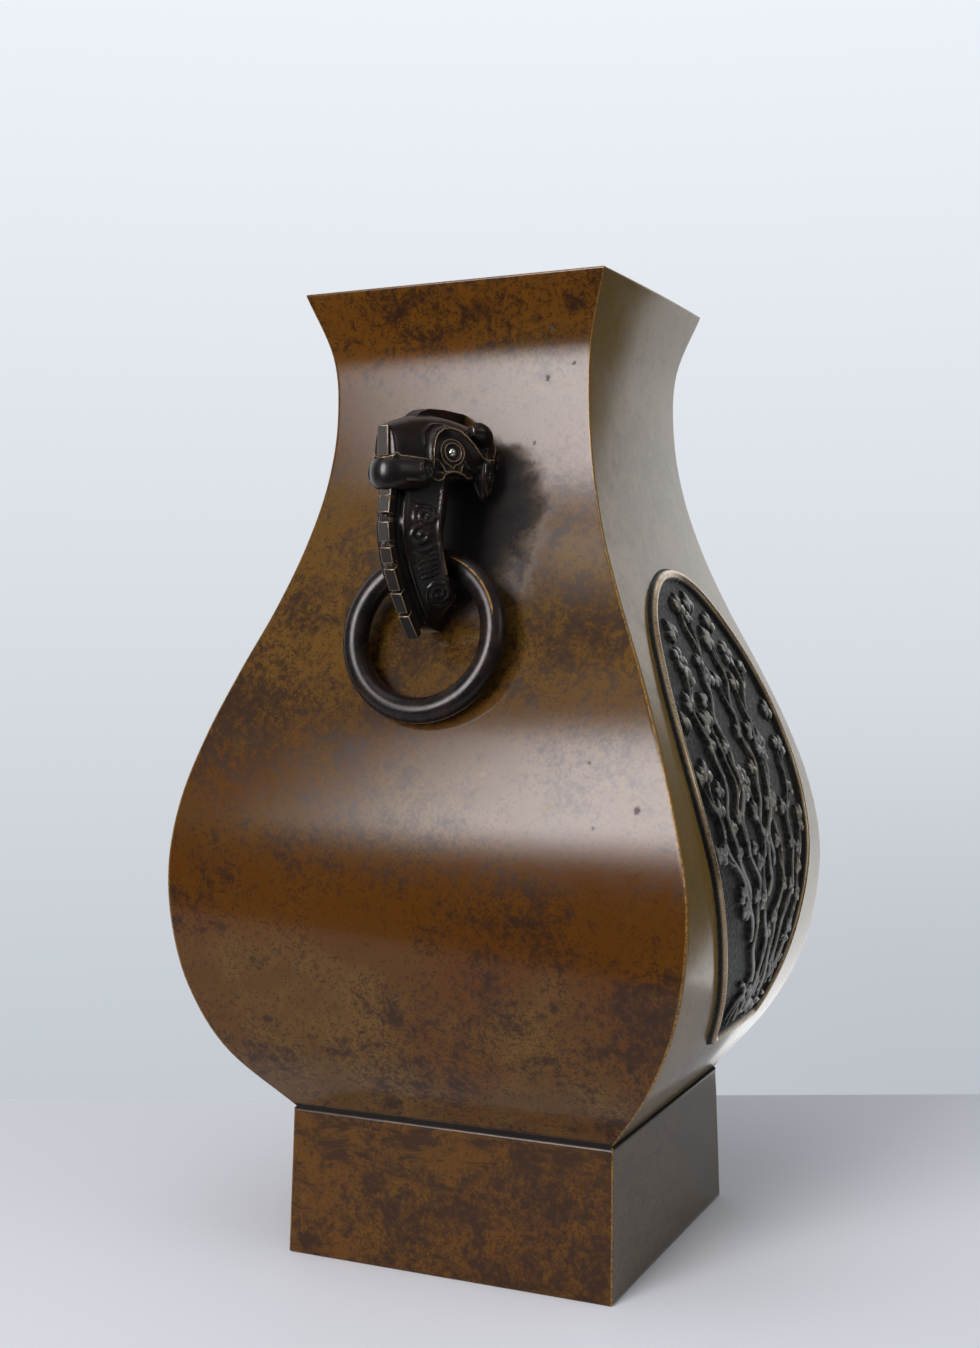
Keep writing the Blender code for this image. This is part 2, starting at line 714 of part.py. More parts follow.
def build_handles(material):
    mesh = build_handle_mesh(material)
    for name, angle in (("front_handle", 0.0), ("back_handle", math.pi)):
        obj = bpy.data.objects.new(name, mesh)
        obj.rotation_euler = (0.0, 0.0, angle)
        bpy.context.scene.collection.objects.link(obj)


def wall_distance(y, z):
    # How far a point in front of the -Y face is from that face
    spots = [z + (i - 30) * 0.001 for i in range(61)]
    return min(math.hypot(-y - half_y(spot), z - spot) for spot in spots)


def ring_lean():
    # The ring hangs from its loop and leans out until its foot rests against the wall
    pivot = ring_pivot()
    low, high = 0.0, math.radians(70)
    for _ in range(40):
        lean = (low + high) / 2
        foot_y = pivot.y - 2 * RING_RADIUS * math.sin(lean)
        foot_z = pivot.z - 2 * RING_RADIUS * math.cos(lean)
        clear = -foot_y > half_y(foot_z) and wall_distance(foot_y, foot_z) > RING_TUBE + SEAT_GAP
        low, high = (low, lean) if clear else (lean, high)
    return high


def build_rings(material):
    bm = bmesh.new()
    loops = []
    for i in range(RING_STEPS):
        turn = 2 * math.pi * i / RING_STEPS
        loop = []
        for j in range(RING_SIDES):
            angle = 2 * math.pi * j / RING_SIDES
            radius = RING_RADIUS + RING_TUBE * math.cos(angle)
            spot = (radius * math.cos(turn), RING_TUBE * math.sin(angle), radius * math.sin(turn) - RING_RADIUS)
            loop.append(bm.verts.new(spot))
        loops.append(loop)
    for i in range(RING_STEPS):
        here, there = loops[i], loops[(i + 1) % RING_STEPS]
        for j in range(RING_SIDES):
            k = (j + 1) % RING_SIDES
            bm.faces.new((here[j], here[k], there[k], there[j]))
    bmesh.ops.rotate(bm, verts=bm.verts[:], cent=(0, 0, 0), matrix=Matrix.Rotation(-ring_lean(), 3, "X"))
    front = make_object("front_ring", bm, material)
    smooth_shading(front.data)
    front.location = ring_pivot()
    back = bpy.data.objects.new("back_ring", front.data)
    bpy.context.scene.collection.objects.link(back)
    back.rotation_euler = (0.0, 0.0, math.pi)
    back.location = (0.0, -front.location.y, front.location.z)


def main():
    clear_scene()
    ochre_bronze = bronze("ochre_bronze", (0.34, 0.20, 0.075), 0.38)
    dark_bronze = bronze("dark_bronze", (0.050, 0.040, 0.036), 0.34)
    build_vessel(ochre_bronze)
    build_handles(dark_bronze)
    build_rings(dark_bronze)


main()
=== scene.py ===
import json
import math

import bmesh
import bpy
import numpy as np
from mathutils import Matrix, Vector
from mathutils.bvhtree import BVHTree

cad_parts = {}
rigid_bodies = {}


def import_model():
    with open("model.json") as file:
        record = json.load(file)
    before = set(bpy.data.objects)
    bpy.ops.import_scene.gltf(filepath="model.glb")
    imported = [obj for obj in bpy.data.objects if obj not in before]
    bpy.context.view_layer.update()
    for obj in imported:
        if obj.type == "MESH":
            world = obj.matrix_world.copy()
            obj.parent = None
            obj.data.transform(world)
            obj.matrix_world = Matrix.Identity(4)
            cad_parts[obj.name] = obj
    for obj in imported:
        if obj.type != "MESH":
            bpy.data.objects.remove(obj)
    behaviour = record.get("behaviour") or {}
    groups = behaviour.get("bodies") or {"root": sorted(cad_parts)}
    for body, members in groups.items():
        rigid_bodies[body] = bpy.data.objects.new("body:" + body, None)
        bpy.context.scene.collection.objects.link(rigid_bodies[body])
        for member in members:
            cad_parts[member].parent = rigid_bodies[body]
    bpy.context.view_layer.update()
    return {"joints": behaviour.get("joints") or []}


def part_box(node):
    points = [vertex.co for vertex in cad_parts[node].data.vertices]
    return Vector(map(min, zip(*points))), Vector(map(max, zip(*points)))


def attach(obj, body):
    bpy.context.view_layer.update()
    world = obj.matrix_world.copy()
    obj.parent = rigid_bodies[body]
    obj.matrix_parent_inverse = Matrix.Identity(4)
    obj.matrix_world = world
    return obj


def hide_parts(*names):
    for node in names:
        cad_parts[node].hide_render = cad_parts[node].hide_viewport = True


# Bronze wine vessel: fine body, relief panels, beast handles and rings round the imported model
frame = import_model()
scene = bpy.context.scene
mm = 0.001


def deselectAll():
    if bpy.context.mode != "OBJECT":
        bpy.ops.object.mode_set(mode="OBJECT")
    bpy.ops.object.select_all(action="DESELECT")


def pick(*pieces):
    deselectAll()
    for piece in pieces:
        piece.select_set(True)
    bpy.context.view_layer.objects.active = pieces[0]


def curveValue(values, share):
    # smooth curve through values at equal steps
    last = len(values) - 1
    index = min(max(int(share * last), 0), last - 1)
    t = share * last - index
    p1, p2 = values[index], values[index + 1]
    p0 = values[index - 1] if index > 0 else 2 * p1 - p2
    p3 = values[index + 2] if index + 2 <= last else 2 * p2 - p1
    return 0.5 * (2 * p1 + (p2 - p0) * t + (2 * p0 - 5 * p1 + 4 * p2 - p3) * t ** 2
                  + (3 * p1 - p0 - 3 * p2 + p3) * t ** 3)


def smoothPath(points, steps):
    columns = list(zip(*points))
    count = steps * (len(points) - 1)
    return [Vector([curveValue(column, i / count) for column in columns]) for i in range(count + 1)]


def applyModifier(piece, kind, **settings):
    pick(piece)
    modifier = piece.modifiers.new(kind.lower(), kind)
    for key, value in settings.items():
        setattr(modifier, key, value)
    bpy.ops.object.modifier_apply(modifier=modifier.name)


def startLoop(name, places):
    # a circle whose points are moved to the given places, left in edit mode with all of it selected
    deselectAll()
    bpy.ops.mesh.primitive_circle_add(vertices=len(places), radius=0.05)
    piece = bpy.context.active_object
    piece.name = name
    bpy.ops.object.mode_set(mode="EDIT")
    bpy.ops.mesh.select_all(action="SELECT")
    sheet = bmesh.from_edit_mesh(piece.data)
    for vert, place in zip(sheet.verts, places):
        vert.co = place
    bmesh.update_edit_mesh(piece.data)
    return piece


def closeEnds():
    # ends edit mode with both open ends filled and the faces pointing out
    bpy.ops.mesh.select_all(action="SELECT")
    bpy.ops.mesh.fill_holes(sides=0)
    bpy.ops.mesh.select_all(action="SELECT")
    bpy.ops.mesh.normals_make_consistent(inside=False)
    bpy.ops.object.mode_set(mode="OBJECT")


def loft(name, rings):
    # the loop is extruded from ring to ring and its points are set to each ring's places
    piece = startLoop(name, rings[0])
    for here, there in zip(rings, rings[1:]):
        bpy.ops.mesh.extrude_region_move()
        sheet = bmesh.from_edit_mesh(piece.data)
        fresh = [vert for vert in sheet.verts if vert.select]
        for vert in fresh:
            nearest = min(range(len(here)), key=lambda i: (Vector(here[i]) - vert.co).length_squared)
            vert.index = nearest
        for vert in fresh:
            vert.co = there[vert.index]
        bmesh.update_edit_mesh(piece.data)
    closeEnds()
    return piece


def tube(name, path, radius, taper=None, sides=3):
    # a round bar along a path, thinner or thicker along the way by the taper's values
    deselectAll()
    wire = bpy.data.curves.new(name, "CURVE")
    wire.dimensions = "3D"
    wire.bevel_depth = radius
    wire.bevel_resolution = sides
    wire.use_fill_caps = True
    line = wire.splines.new("POLY")
    line.points.add(len(path) - 1)
    for i, (point, place) in enumerate(zip(line.points, path)):
        point.co = (*place, 1)
        point.radius = curveValue(taper, i / (len(path) - 1)) if taper else 1
    piece = bpy.data.objects.new(name, wire)
    scene.collection.objects.link(piece)
    pick(piece)
    bpy.ops.object.convert(target="MESH")
    return bpy.context.active_object


def joined(name, pieces):
    pick(*pieces)
    bpy.ops.object.join()
    piece = bpy.context.active_object
    piece.name = name
    return piece


def turnedCopy(piece, name):
    # the same piece on the opposite side, half a turn round the vessel
    twin = bpy.data.objects.new(name, piece.data.copy())
    scene.collection.objects.link(twin)
    twin.data.transform(Matrix.Rotation(math.pi, 4, "Z"))
    return twin


def setAttribute(piece, name, values):
    layer = piece.data.attributes.new(name, "FLOAT", "POINT")
    layer.data.foreach_set("value", np.asarray(values, dtype=np.float32))


vesselShape = {
    "height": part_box("vessel")[1][2],
    "footHeight": 57.7 * mm,
    "bellyX": 105.9 * mm, "bellyY": 93.5 * mm,
    "ledge": 0.5 * mm, "flareX": 0.7 * mm, "flareY": 3.5 * mm,
    "wall": 3.5 * mm, "floor": 4.5 * mm, "footWall": 5.0 * mm,
    "steps": 96,
    "cornerRadius": 0.30 * mm, "cornerRoom": 1.2 * mm, "sidePoints": 7, "softEdge": 0.5 * mm,
    "lipEdge": ((0.25 * mm, 0.1 * mm), (0, 0.45 * mm)),  # its outer edge: how far down, how far in
    "crown": 0.9 * mm, "crownStart": 4 * mm, "crownRise": 22 * mm,
    # worn bands along the corners, and along the lip a worn band with a painted highlight
    "wornCorner": 0.8 * mm, "lipWearAndHighlight": 0.6 * mm,
    # half-widths at equal steps from the foot to the lip, as shares of the belly's
    "sharesX": (0.635, 0.822, 0.939, 0.992, 1.000, 0.956, 0.881, 0.788, 0.684, 0.595, 0.535, 0.508,
                0.519, 0.597),
    "sharesY": (0.673, 0.874, 0.958, 0.994, 1.000, 0.980, 0.912, 0.815, 0.713, 0.630, 0.562, 0.529,
                0.536, 0.617),
}


def bodyShare(z):
    return (z - vesselShape["footHeight"]) / (vesselShape["height"] - vesselShape["footHeight"])


def halfX(z):
    return vesselShape["bellyX"] * curveValue(vesselShape["sharesX"], bodyShare(z))


def halfY(z):
    return vesselShape["bellyY"] * curveValue(vesselShape["sharesY"], bodyShare(z))


def slope(half, z):
    return (half(z + 0.5 * mm) - half(z - 0.5 * mm)) / mm


def insideHalf(half, z):
    return half(z) - vesselShape["wall"] * math.hypot(1, slope(half, z))


def sideCrown(y, z):
    # the relief faces are very slightly crowned from edge to edge
    shape = vesselShape
    across = max(1 - (y / halfY(z)) ** 2, 0)
    rise = min(max((z - shape["footHeight"] - shape["crownStart"]) / shape["crownRise"], 0), 1)
    return shape["crown"] * across * rise * (2 - rise)


def roundedCorners(x, y, z):
    # a rectangle with small round corners and a point each side of them, where the flat sides start
    radius, room = vesselShape["cornerRadius"], vesselShape["cornerRoom"]
    count = vesselShape["sidePoints"]
    places = []
    for turn, (sx, sy) in enumerate(((1, 1), (-1, 1), (-1, -1), (1, -1))):
        start = math.pi / 2 * turn
        corner = [(x * sx - radius * sx + radius * math.cos(start + math.pi / 4 * i),
                   y * sy - radius * sy + radius * math.sin(start + math.pi / 4 * i)) for i in range(3)]
        before = (x * sx, (y - room) * sy) if turn % 2 == 0 else ((x - room) * sx, y * sy)
        after = ((x - room) * sx, y * sy) if turn % 2 == 0 else (x * sx, (y - room) * sy)
        places += [(*spot, z) for spot in [before] + corner + [after]]
        if turn % 2:  # points along the relief faces
            reach = y - room
            places += [(x * sx, sy * reach * (1 - 2 * (i + 1) / (count + 1)), z) for i in range(count)]
    return places


def moveRim(rim, z, x, y):
    # extrudes the open rim to a new height and scales it to its new half-widths
    bpy.ops.mesh.extrude_region_move(TRANSFORM_OT_translate={"value": (0, 0, z - rim["z"])})
    bpy.ops.transform.resize(value=(x / rim["x"], y / rim["y"], 1), center_override=(0, 0, z))
    rim.update(z=z, x=x, y=y)


def makeBody():
    print("vessel body")
    shape = vesselShape
    height, foot = shape["height"], shape["footHeight"]
    topX, topY = halfX(foot) + shape["ledge"], halfY(foot) + shape["ledge"]
    baseX, baseY = topX + shape["flareX"], topY + shape["flareY"]
    ceiling = foot - shape["ledge"]
    soft = shape["softEdge"]
    # from the ceiling of the hollow foot down to its rim and up its outside
    rim = {"x": topX - shape["footWall"], "y": topY - shape["footWall"], "z": ceiling}
    body = startLoop("vesselBody", roundedCorners(rim["x"], rim["y"], rim["z"]))
    moveRim(rim, soft, baseX - shape["footWall"], baseY - shape["footWall"])
    moveRim(rim, 0, baseX - shape["footWall"] + soft, baseY - shape["footWall"] + soft)
    moveRim(rim, 0, baseX - soft, baseY - soft)
    moveRim(rim, soft, baseX, baseY)
    for share in (0.03, 0.5, 0.97, 0.995):
        z = soft + (ceiling - soft) * share
        moveRim(rim, z, baseX + (topX - baseX) * share, baseY + (topY - baseY) * share)
    moveRim(rim, ceiling, topX - soft / 2, topY - soft / 2)
    moveRim(rim, ceiling + 0.1 * mm, halfX(foot) - 0.2 * mm, halfY(foot) - 0.2 * mm)
    # up the outside, over the lip and down the inside to the floor
    start, span = foot + 0.4 * mm, height - foot - 1.2 * mm
    heights = [start + span * i / shape["steps"] for i in range(shape["steps"] + 1)]
    for z in heights:
        moveRim(rim, z, halfX(z), halfY(z))
    for down, inset in shape["lipEdge"]:
        z = height - down
        moveRim(rim, z, halfX(z) - inset, halfY(z) - inset)
    moveRim(rim, height, insideHalf(halfX, height) + soft, insideHalf(halfY, height) + soft)
    floor = ceiling + shape["floor"]
    for z in reversed([z for z in heights[::2] if z > floor + 2 * mm]):
        moveRim(rim, z, insideHalf(halfX, z), insideHalf(halfY, z))
    moveRim(rim, floor, insideHalf(halfX, floor) - 1.5 * mm, insideHalf(halfY, floor) - 1.5 * mm)
    closeEnds()
    # the relief faces are crowned, the corners marked as worn, and the lip as worn with a painted highlight
    wearAndHighlight, sideFace = [], []
    worn = shape["wornCorner"]
    for vert in body.data.vertices:
        z = vert.co.z
        atLip = z > height - shape["lipWearAndHighlight"]
        outX = halfX(z) if z > foot else baseX + (topX - baseX) * z / foot
        outY = halfY(z) if z > foot else baseY + (topY - baseY) * z / foot
        corner = abs(vert.co.x) > outX - worn and abs(vert.co.y) > outY - worn
        if z > foot and abs(vert.co.x) > outX - 0.6 * mm:
            vert.co.x += math.copysign(sideCrown(vert.co.y, z), vert.co.x)
        wearAndHighlight.append(1.0 if corner or atLip else 0.0)
        sideFace.append(1.0 if outX - abs(vert.co.x) < outY - abs(vert.co.y) else 0.0)
    setAttribute(body, "wearAndHighlight", wearAndHighlight)
    setAttribute(body, "sideFace", sideFace)
    body.data.shade_smooth()
    return body


panelShape = {
    "bottom": 90.1 * mm, "height": 180.3 * mm, "halfWidth": 69.9 * mm,
    "cornerShare": 0.435, "waistShare": 0.52, "sidePower": 1.8,
    "frameWidth": 3.9 * mm, "frameHeight": 2.6 * mm, "cornerRound": 5 * mm,
    "pitch": 0.535 * mm, "ground": 0.15 * mm, "plantMargin": 4.0 * mm, "plantFade": 1.2 * mm,
    "skirt": 1.4 * mm, "skirtStart": 0.5 * mm, "skirtSlope": 0.8,  # round the frame, down into the wall
    "fullHeight": 2.2 * mm, "frameSpread": 0.62,  # for the attributes raised and framePart
    "thickness": 1.2 * mm, "backShare": 0.16,
}

plantShape = {
    "stems": (  # places across of foot and tip, heights of both, and waves, as shares of the panel
        (-0.42, -0.90, 0.22, 0.56, 1.2), (-0.55, -0.66, 0.30, 0.78, 1.8), (-0.20, -0.46, 0.12, 0.66, 2.2),
        (-0.35, -0.20, 0.40, 0.90, 2.0), (0.05, -0.12, 0.06, 0.52, 1.7), (-0.02, 0.22, 0.30, 0.82, 2.4),
        (0.30, 0.38, 0.08, 0.60, 2.1), (0.12, 0.60, 0.36, 0.79, 1.9), (0.50, 0.80, 0.14, 0.58, 1.6),
        (0.72, 0.96, 0.10, 0.42, 1.1),
    ),
    "sway": 0.065, "stemWidths": (2.5 * mm, 1.3 * mm), "stemHeight": 2.1 * mm,
    "twigLength": 11 * mm, "twigWidths": (1.7 * mm, 1.0 * mm), "twigAngle": 34,
    "leafLength": 9.0 * mm, "leafWidth": 3.9 * mm, "leafHeight": 2.3 * mm, "leafAngle": 44,
    "blossomRadius": 6.2 * mm, "blossomHeight": 2.5 * mm, "petals": 5,
    "sprigs": (  # loose ones: across, up and lean in degrees
        (0.16, 0.905, 0), (-0.62, 0.845, 20), (0.52, 0.865, -25), (-0.92, 0.66, 10), (-0.16, 0.745, -10),
        (0.90, 0.66, -15), (-0.97, 0.40, 25), (0.36, 0.475, 15), (-0.60, 0.27, -20),
    ),
    "curlCount": 40, "curlWidth": 1.7 * mm, "curlHeight": 1.9 * mm,
}


def panelHalfWidth(z):
    shape = panelShape
    t = (z - shape["bottom"]) / shape["height"]
    if t < shape["waistShare"]:
        lean = max(1 - t / shape["waistShare"], 0) ** shape["sidePower"]
        gap = max(shape["cornerRound"] - (z - shape["bottom"]), 0)
        cut = shape["cornerRound"] - math.sqrt(max(shape["cornerRound"] ** 2 - gap ** 2, 0))
        return shape["halfWidth"] * (1 - (1 - shape["cornerShare"]) * lean) - cut
    up = min((t - shape["waistShare"]) / (1 - shape["waistShare"]), 1)
    return shape["halfWidth"] * math.sqrt(1 - up * up)


def panelOutline():
    shape = panelShape
    waist = shape["bottom"] + shape["waistShare"] * shape["height"]
    top = shape["bottom"] + shape["height"]
    side = []
    for i in range(40):  # closer together round the bottom corner
        z = shape["bottom"] + (waist - shape["bottom"]) * (i / 40) ** 2
        side.append((panelHalfWidth(z), z))
    for i in range(46):
        angle = math.pi / 2 * i / 45
        side.append((shape["halfWidth"] * math.cos(angle), waist + (top - waist) * math.sin(angle)))
    return side + [(-y, z) for y, z in reversed(side[:-1])]


def plantPoint(across, up):
    z = panelShape["bottom"] + panelShape["height"] * up
    return Vector((across * (panelHalfWidth(z) - panelShape["frameWidth"] - panelShape["plantMargin"]), z))


def stemPath(row, count, phase):
    foot, tip, low, high, waves = row
    path = []
    for i in range(count + 1):
        t = i / count
        sway = plantShape["sway"] * (math.sin(2 * math.pi * waves * t + phase)
                                     + 0.4 * math.sin(5 * math.pi * waves * t))
        path.append(plantPoint(foot + (tip - foot) * t + sway, low + (high - low) * t))
    return path


def turned(direction, degrees):
    return Matrix.Rotation(math.radians(degrees), 2) @ direction


class Carving:
    # a height over the panel's flat grid, into which forms are carved one by one
    def __init__(self):
        shape = panelShape
        edge = shape["skirt"] + shape["pitch"]
        self.ys = np.arange(-shape["halfWidth"] - edge, shape["halfWidth"] + edge, shape["pitch"])
        self.zs = np.arange(shape["bottom"] - edge, shape["bottom"] + shape["height"] + edge, shape["pitch"])
        self.height = np.zeros((len(self.zs), len(self.ys)))

    def window(self, low, high):
        # the part of the grid that a form can touch
        y0, y1 = np.searchsorted(self.ys, (low[0], high[0]))
        z0, z1 = np.searchsorted(self.zs, (low[1], high[1]))
        part = (slice(z0, z1), slice(y0, y1))
        y, z = np.meshgrid(self.ys[y0:y1], self.zs[z0:z1])
        return part, y, z

    def raiseTo(self, part, height):
        self.height[part] = np.maximum(self.height[part], height)

    def stroke(self, path, widths, height):
        # a rounded ridge along a path
        count = len(path) - 1
        for i in range(count):
            a, b = path[i], path[i + 1]
            half = 0.5 * (widths[0] + (widths[1] - widths[0]) * i / count)
            part, y, z = self.window((min(a.x, b.x) - half, min(a.y, b.y) - half),
                                     (max(a.x, b.x) + half, max(a.y, b.y) + half))
            step = b - a
            along = np.clip(((y - a.x) * step.x + (z - a.y) * step.y) / max(step.length_squared, 1e-12), 0, 1)
            away = np.hypot(y - a.x - along * step.x, z - a.y - along * step.y) / half
            rise = height * (1 - 0.25 * i / count)
            self.raiseTo(part, rise * np.sqrt(np.clip(1 - away ** 2, 0, 1)))

    def leaf(self, root, direction, length, width, height):
        # pointed, arched, with a furrow along the midrib, and left out where it would touch the frame
        tip = root + direction * length
        margin = 1.5 * panelShape["frameWidth"]
        if abs(tip.x) > panelHalfWidth(tip.y) - margin:
            return
        if tip.y > panelShape["bottom"] + panelShape["height"] - margin:
            return
        part, y, z = self.window((min(root.x, tip.x) - width, min(root.y, tip.y) - width),
                                 (max(root.x, tip.x) + width, max(root.y, tip.y) + width))
        u = ((y - root.x) * direction.x + (z - root.y) * direction.y) / length
        v = (-(y - root.x) * direction.y + (z - root.y) * direction.x) / (width / 2)
        inside = np.clip(u, 1e-6, 1 - 1e-6)
        spread = np.sin(np.pi * inside ** 0.75) ** 0.85
        share = np.clip(np.abs(v) / np.maximum(spread, 1e-3), 0, 1)
        arch = np.sqrt(1 - share ** 2) * (0.45 + 0.55 * np.sin(np.pi * inside))
        furrow = 0.24 * np.exp(-(v * width / 2 / (0.40 * mm)) ** 2)
        rise = np.where((u > 0) & (u < 1) & (share < 1), height * (arch - furrow), 0)
        self.raiseTo(part, rise)

    def sprig(self, root, direction, scale=1.0):
        # three pointed leaves that open from one place
        plant = plantShape
        for angle, share in ((plant["leafAngle"], 0.82), (-plant["leafAngle"], 0.82), (0, 1.0)):
            self.leaf(root, turned(direction, angle), plant["leafLength"] * share * scale,
                      plant["leafWidth"] * scale, plant["leafHeight"])

    def blossom(self, centre, radius, height, petals, turn):
        # rounded petals, lower in the middle, round a small heart
        part, y, z = self.window((centre.x - radius, centre.y - radius),
                                 (centre.x + radius, centre.y + radius))
        away = np.hypot(y - centre.x, z - centre.y)
        angle = np.arctan2(y - centre.x, z - centre.y) - turn
        lobe = np.abs(np.cos(angle * petals / 2))
        edge = radius * (0.66 + 0.34 * lobe ** 0.6)
        share = np.clip(away / edge, 0, 1)
        dish = (1 - share ** 5) * (0.35 + 0.65 * share) * (0.55 + 0.45 * lobe ** 0.5)
        heart = 0.85 * np.sqrt(np.clip(1 - (away / (0.26 * radius)) ** 2, 0, 1))
        self.raiseTo(part, np.where(share < 1, height * np.maximum(dish, heart), 0))


def carvePlants(carving):
    # thin wavy stems with twigs, sprigs and blossoms, and curls of grass along the ground
    plant = plantShape
    rng = np.random.default_rng(7)

    def inner(path):
        margin = 1.5 * panelShape["frameWidth"]
        return [spot for spot in path if abs(spot.x) < panelHalfWidth(spot.y) - margin]

    def curved(root, direction, reach, bend):
        path = [root]
        count = 8
        for i in range(count):
            path.append(path[-1] + turned(direction, bend * (i + 1) / count) * reach / count)
        return inner(path)

    for number, row in enumerate(plant["stems"]):
        path = stemPath(row, 60, 1.3 * number)
        carving.stroke(path, plant["stemWidths"], plant["stemHeight"])
        side = 1 if number % 2 else -1
        for i in range(10 + 2 * (number % 3), 56, 10):
            side = -side
            heading = (path[i + 1] - path[i]).normalized()
            reach = plant["twigLength"] * (0.7 + 0.5 * rng.random())
            twig = curved(path[i], turned(heading, side * plant["twigAngle"]), reach, -side * 38)
            if len(twig) > 4:
                carving.stroke(twig, plant["twigWidths"], 0.85 * plant["stemHeight"])
                carving.sprig(twig[-1], (twig[-1] - twig[-3]).normalized(), 0.72 + 0.25 * rng.random())
        tip = (path[-1] - path[-3]).normalized()
        if number % 3 == 1:
            carving.blossom(path[-1] + tip * plant["blossomRadius"] * 0.7, plant["blossomRadius"],
                            plant["blossomHeight"], plant["petals"], 0.4 * number)
        else:
            carving.sprig(path[-1], tip, 1.1)
    for across, up, angle in plant["sprigs"]:
        carving.sprig(plantPoint(across, up), turned(Vector((0, 1)), angle), 1.05)
    for number in range(plant["curlCount"]):
        across = -0.45 + 1.40 * rng.random()
        root = plantPoint(across, 0.035 + 0.15 * rng.random() * (0.4 + 0.6 * across ** 2))
        direction = turned(Vector((0, 1)), 50 * rng.standard_normal())
        bend = 75 if number % 2 else -75
        curl = curved(root, direction, (7 + 8 * rng.random()) * mm, bend * (0.6 + 0.8 * rng.random()))
        if len(curl) > 4:
            carving.stroke(curl, (plant["curlWidth"], 0.8 * plant["curlWidth"]), plant["curlHeight"])


def frameDistance(carving):
    # how far each grid point is inside the outline, below zero outside it
    shape = panelShape
    outline = panelOutline()
    outline = np.array(outline + outline[:1])
    y, z = np.meshgrid(carving.ys, carving.zs)
    nearest = np.full(y.shape, 1.0)
    for a, b in zip(outline, outline[1:]):
        step = b - a
        along = np.clip(((y - a[0]) * step[0] + (z - a[1]) * step[1]) / (step @ step), 0, 1)
        away = np.hypot(y - a[0] - along * step[0], z - a[1] - along * step[1])
        nearest = np.minimum(nearest, away)
    widths = np.array([panelHalfWidth(level) if 0 <= level - shape["bottom"] <= shape["height"] else 0
                       for level in carving.zs])
    return np.where(np.abs(y) < widths[:, None], nearest, -nearest)


def makeRelief():
    print("relief panel")
    shape = panelShape
    carving = Carving()
    carvePlants(carving)
    depth = frameDistance(carving)
    across = depth / shape["frameWidth"]
    # the plants fade out at the frame, which is a round bead, and a skirt slopes down outside it
    inner = np.clip((depth - shape["frameWidth"]) / shape["plantFade"], 0, 1)
    height = shape["ground"] + carving.height * inner
    bead = np.sqrt(np.clip(1 - (2 * across - 1) ** 2, 0, 1))
    height = np.where((across > 0) & (across < 1), np.maximum(height, shape["frameHeight"] * bead), height)
    skirt = shape["ground"] + (depth + shape["skirtStart"]) * shape["skirtSlope"]
    height = np.where(depth < -shape["skirtStart"], skirt, height)
    # a flat grid of the same rows and columns is wrapped onto the wall and raised
    deselectAll()
    rows, columns = height.shape
    bpy.ops.mesh.primitive_grid_add(x_subdivisions=columns - 1, y_subdivisions=rows - 1, size=2)
    relief = bpy.context.active_object
    relief.name = "reliefRight"
    spots = np.empty(len(relief.data.vertices) * 3)
    relief.data.vertices.foreach_get("co", spots)
    spots = spots.reshape(-1, 3)
    column = np.rint((spots[:, 0] + 1) / 2 * (columns - 1)).astype(int)
    row = np.rint((spots[:, 1] + 1) / 2 * (rows - 1)).astype(int)
    walls = np.array([halfX(z) for z in carving.zs])
    leans = np.array([slope(halfX, z) for z in carving.zs])
    lengths = np.hypot(1, leans)
    lift = height[row, column]
    crown = np.array([[sideCrown(y, z) for y in carving.ys] for z in carving.zs])
    spots[:, 0] = walls[row] + crown[row, column] + lift / lengths[row]
    spots[:, 1] = carving.ys[column]
    spots[:, 2] = carving.zs[row] - lift * leans[row] / lengths[row]
    relief.data.vertices.foreach_set("co", spots.ravel())
    setAttribute(relief, "raised", np.clip((lift - shape["ground"]) / shape["fullHeight"], 0, 1))
    framePart = np.clip(1 - np.abs(across - 0.5) / shape["frameSpread"], 0, 1)
    setAttribute(relief, "framePart", framePart[row, column])
    # what lies beyond the skirt is deleted, and the rest given a back
    inside = depth[row, column]
    bpy.ops.object.mode_set(mode="EDIT")
    bpy.ops.mesh.select_all(action="DESELECT")
    sheet = bmesh.from_edit_mesh(relief.data)
    sheet.verts.ensure_lookup_table()
    for vert in sheet.verts:
        vert.select = bool(inside[vert.index] < -shape["skirt"])
    sheet.select_flush(True)
    bmesh.update_edit_mesh(relief.data)
    bpy.ops.mesh.delete(type="VERT")
    bpy.ops.mesh.select_all(action="SELECT")
    bpy.ops.object.mode_set(mode="OBJECT")
    carved = len(relief.data.polygons)
    applyModifier(relief, "SOLIDIFY", thickness=shape["thickness"], offset=-1)
    pick(relief)
    bpy.ops.object.mode_set(mode="EDIT")
    bpy.ops.mesh.select_mode(type="FACE")
    bpy.ops.mesh.select_all(action="DESELECT")
    sheet = bmesh.from_edit_mesh(relief.data)
    for face in sheet.faces:  # the back, which nobody sees, needs few faces
        face.select = carved <= face.index < 2 * carved
    bmesh.update_edit_mesh(relief.data)
    bpy.ops.mesh.decimate(ratio=shape["backShare"])
    bpy.ops.mesh.select_mode(type="VERT")
    bpy.ops.object.mode_set(mode="OBJECT")
    relief.data.shade_smooth()
    return relief


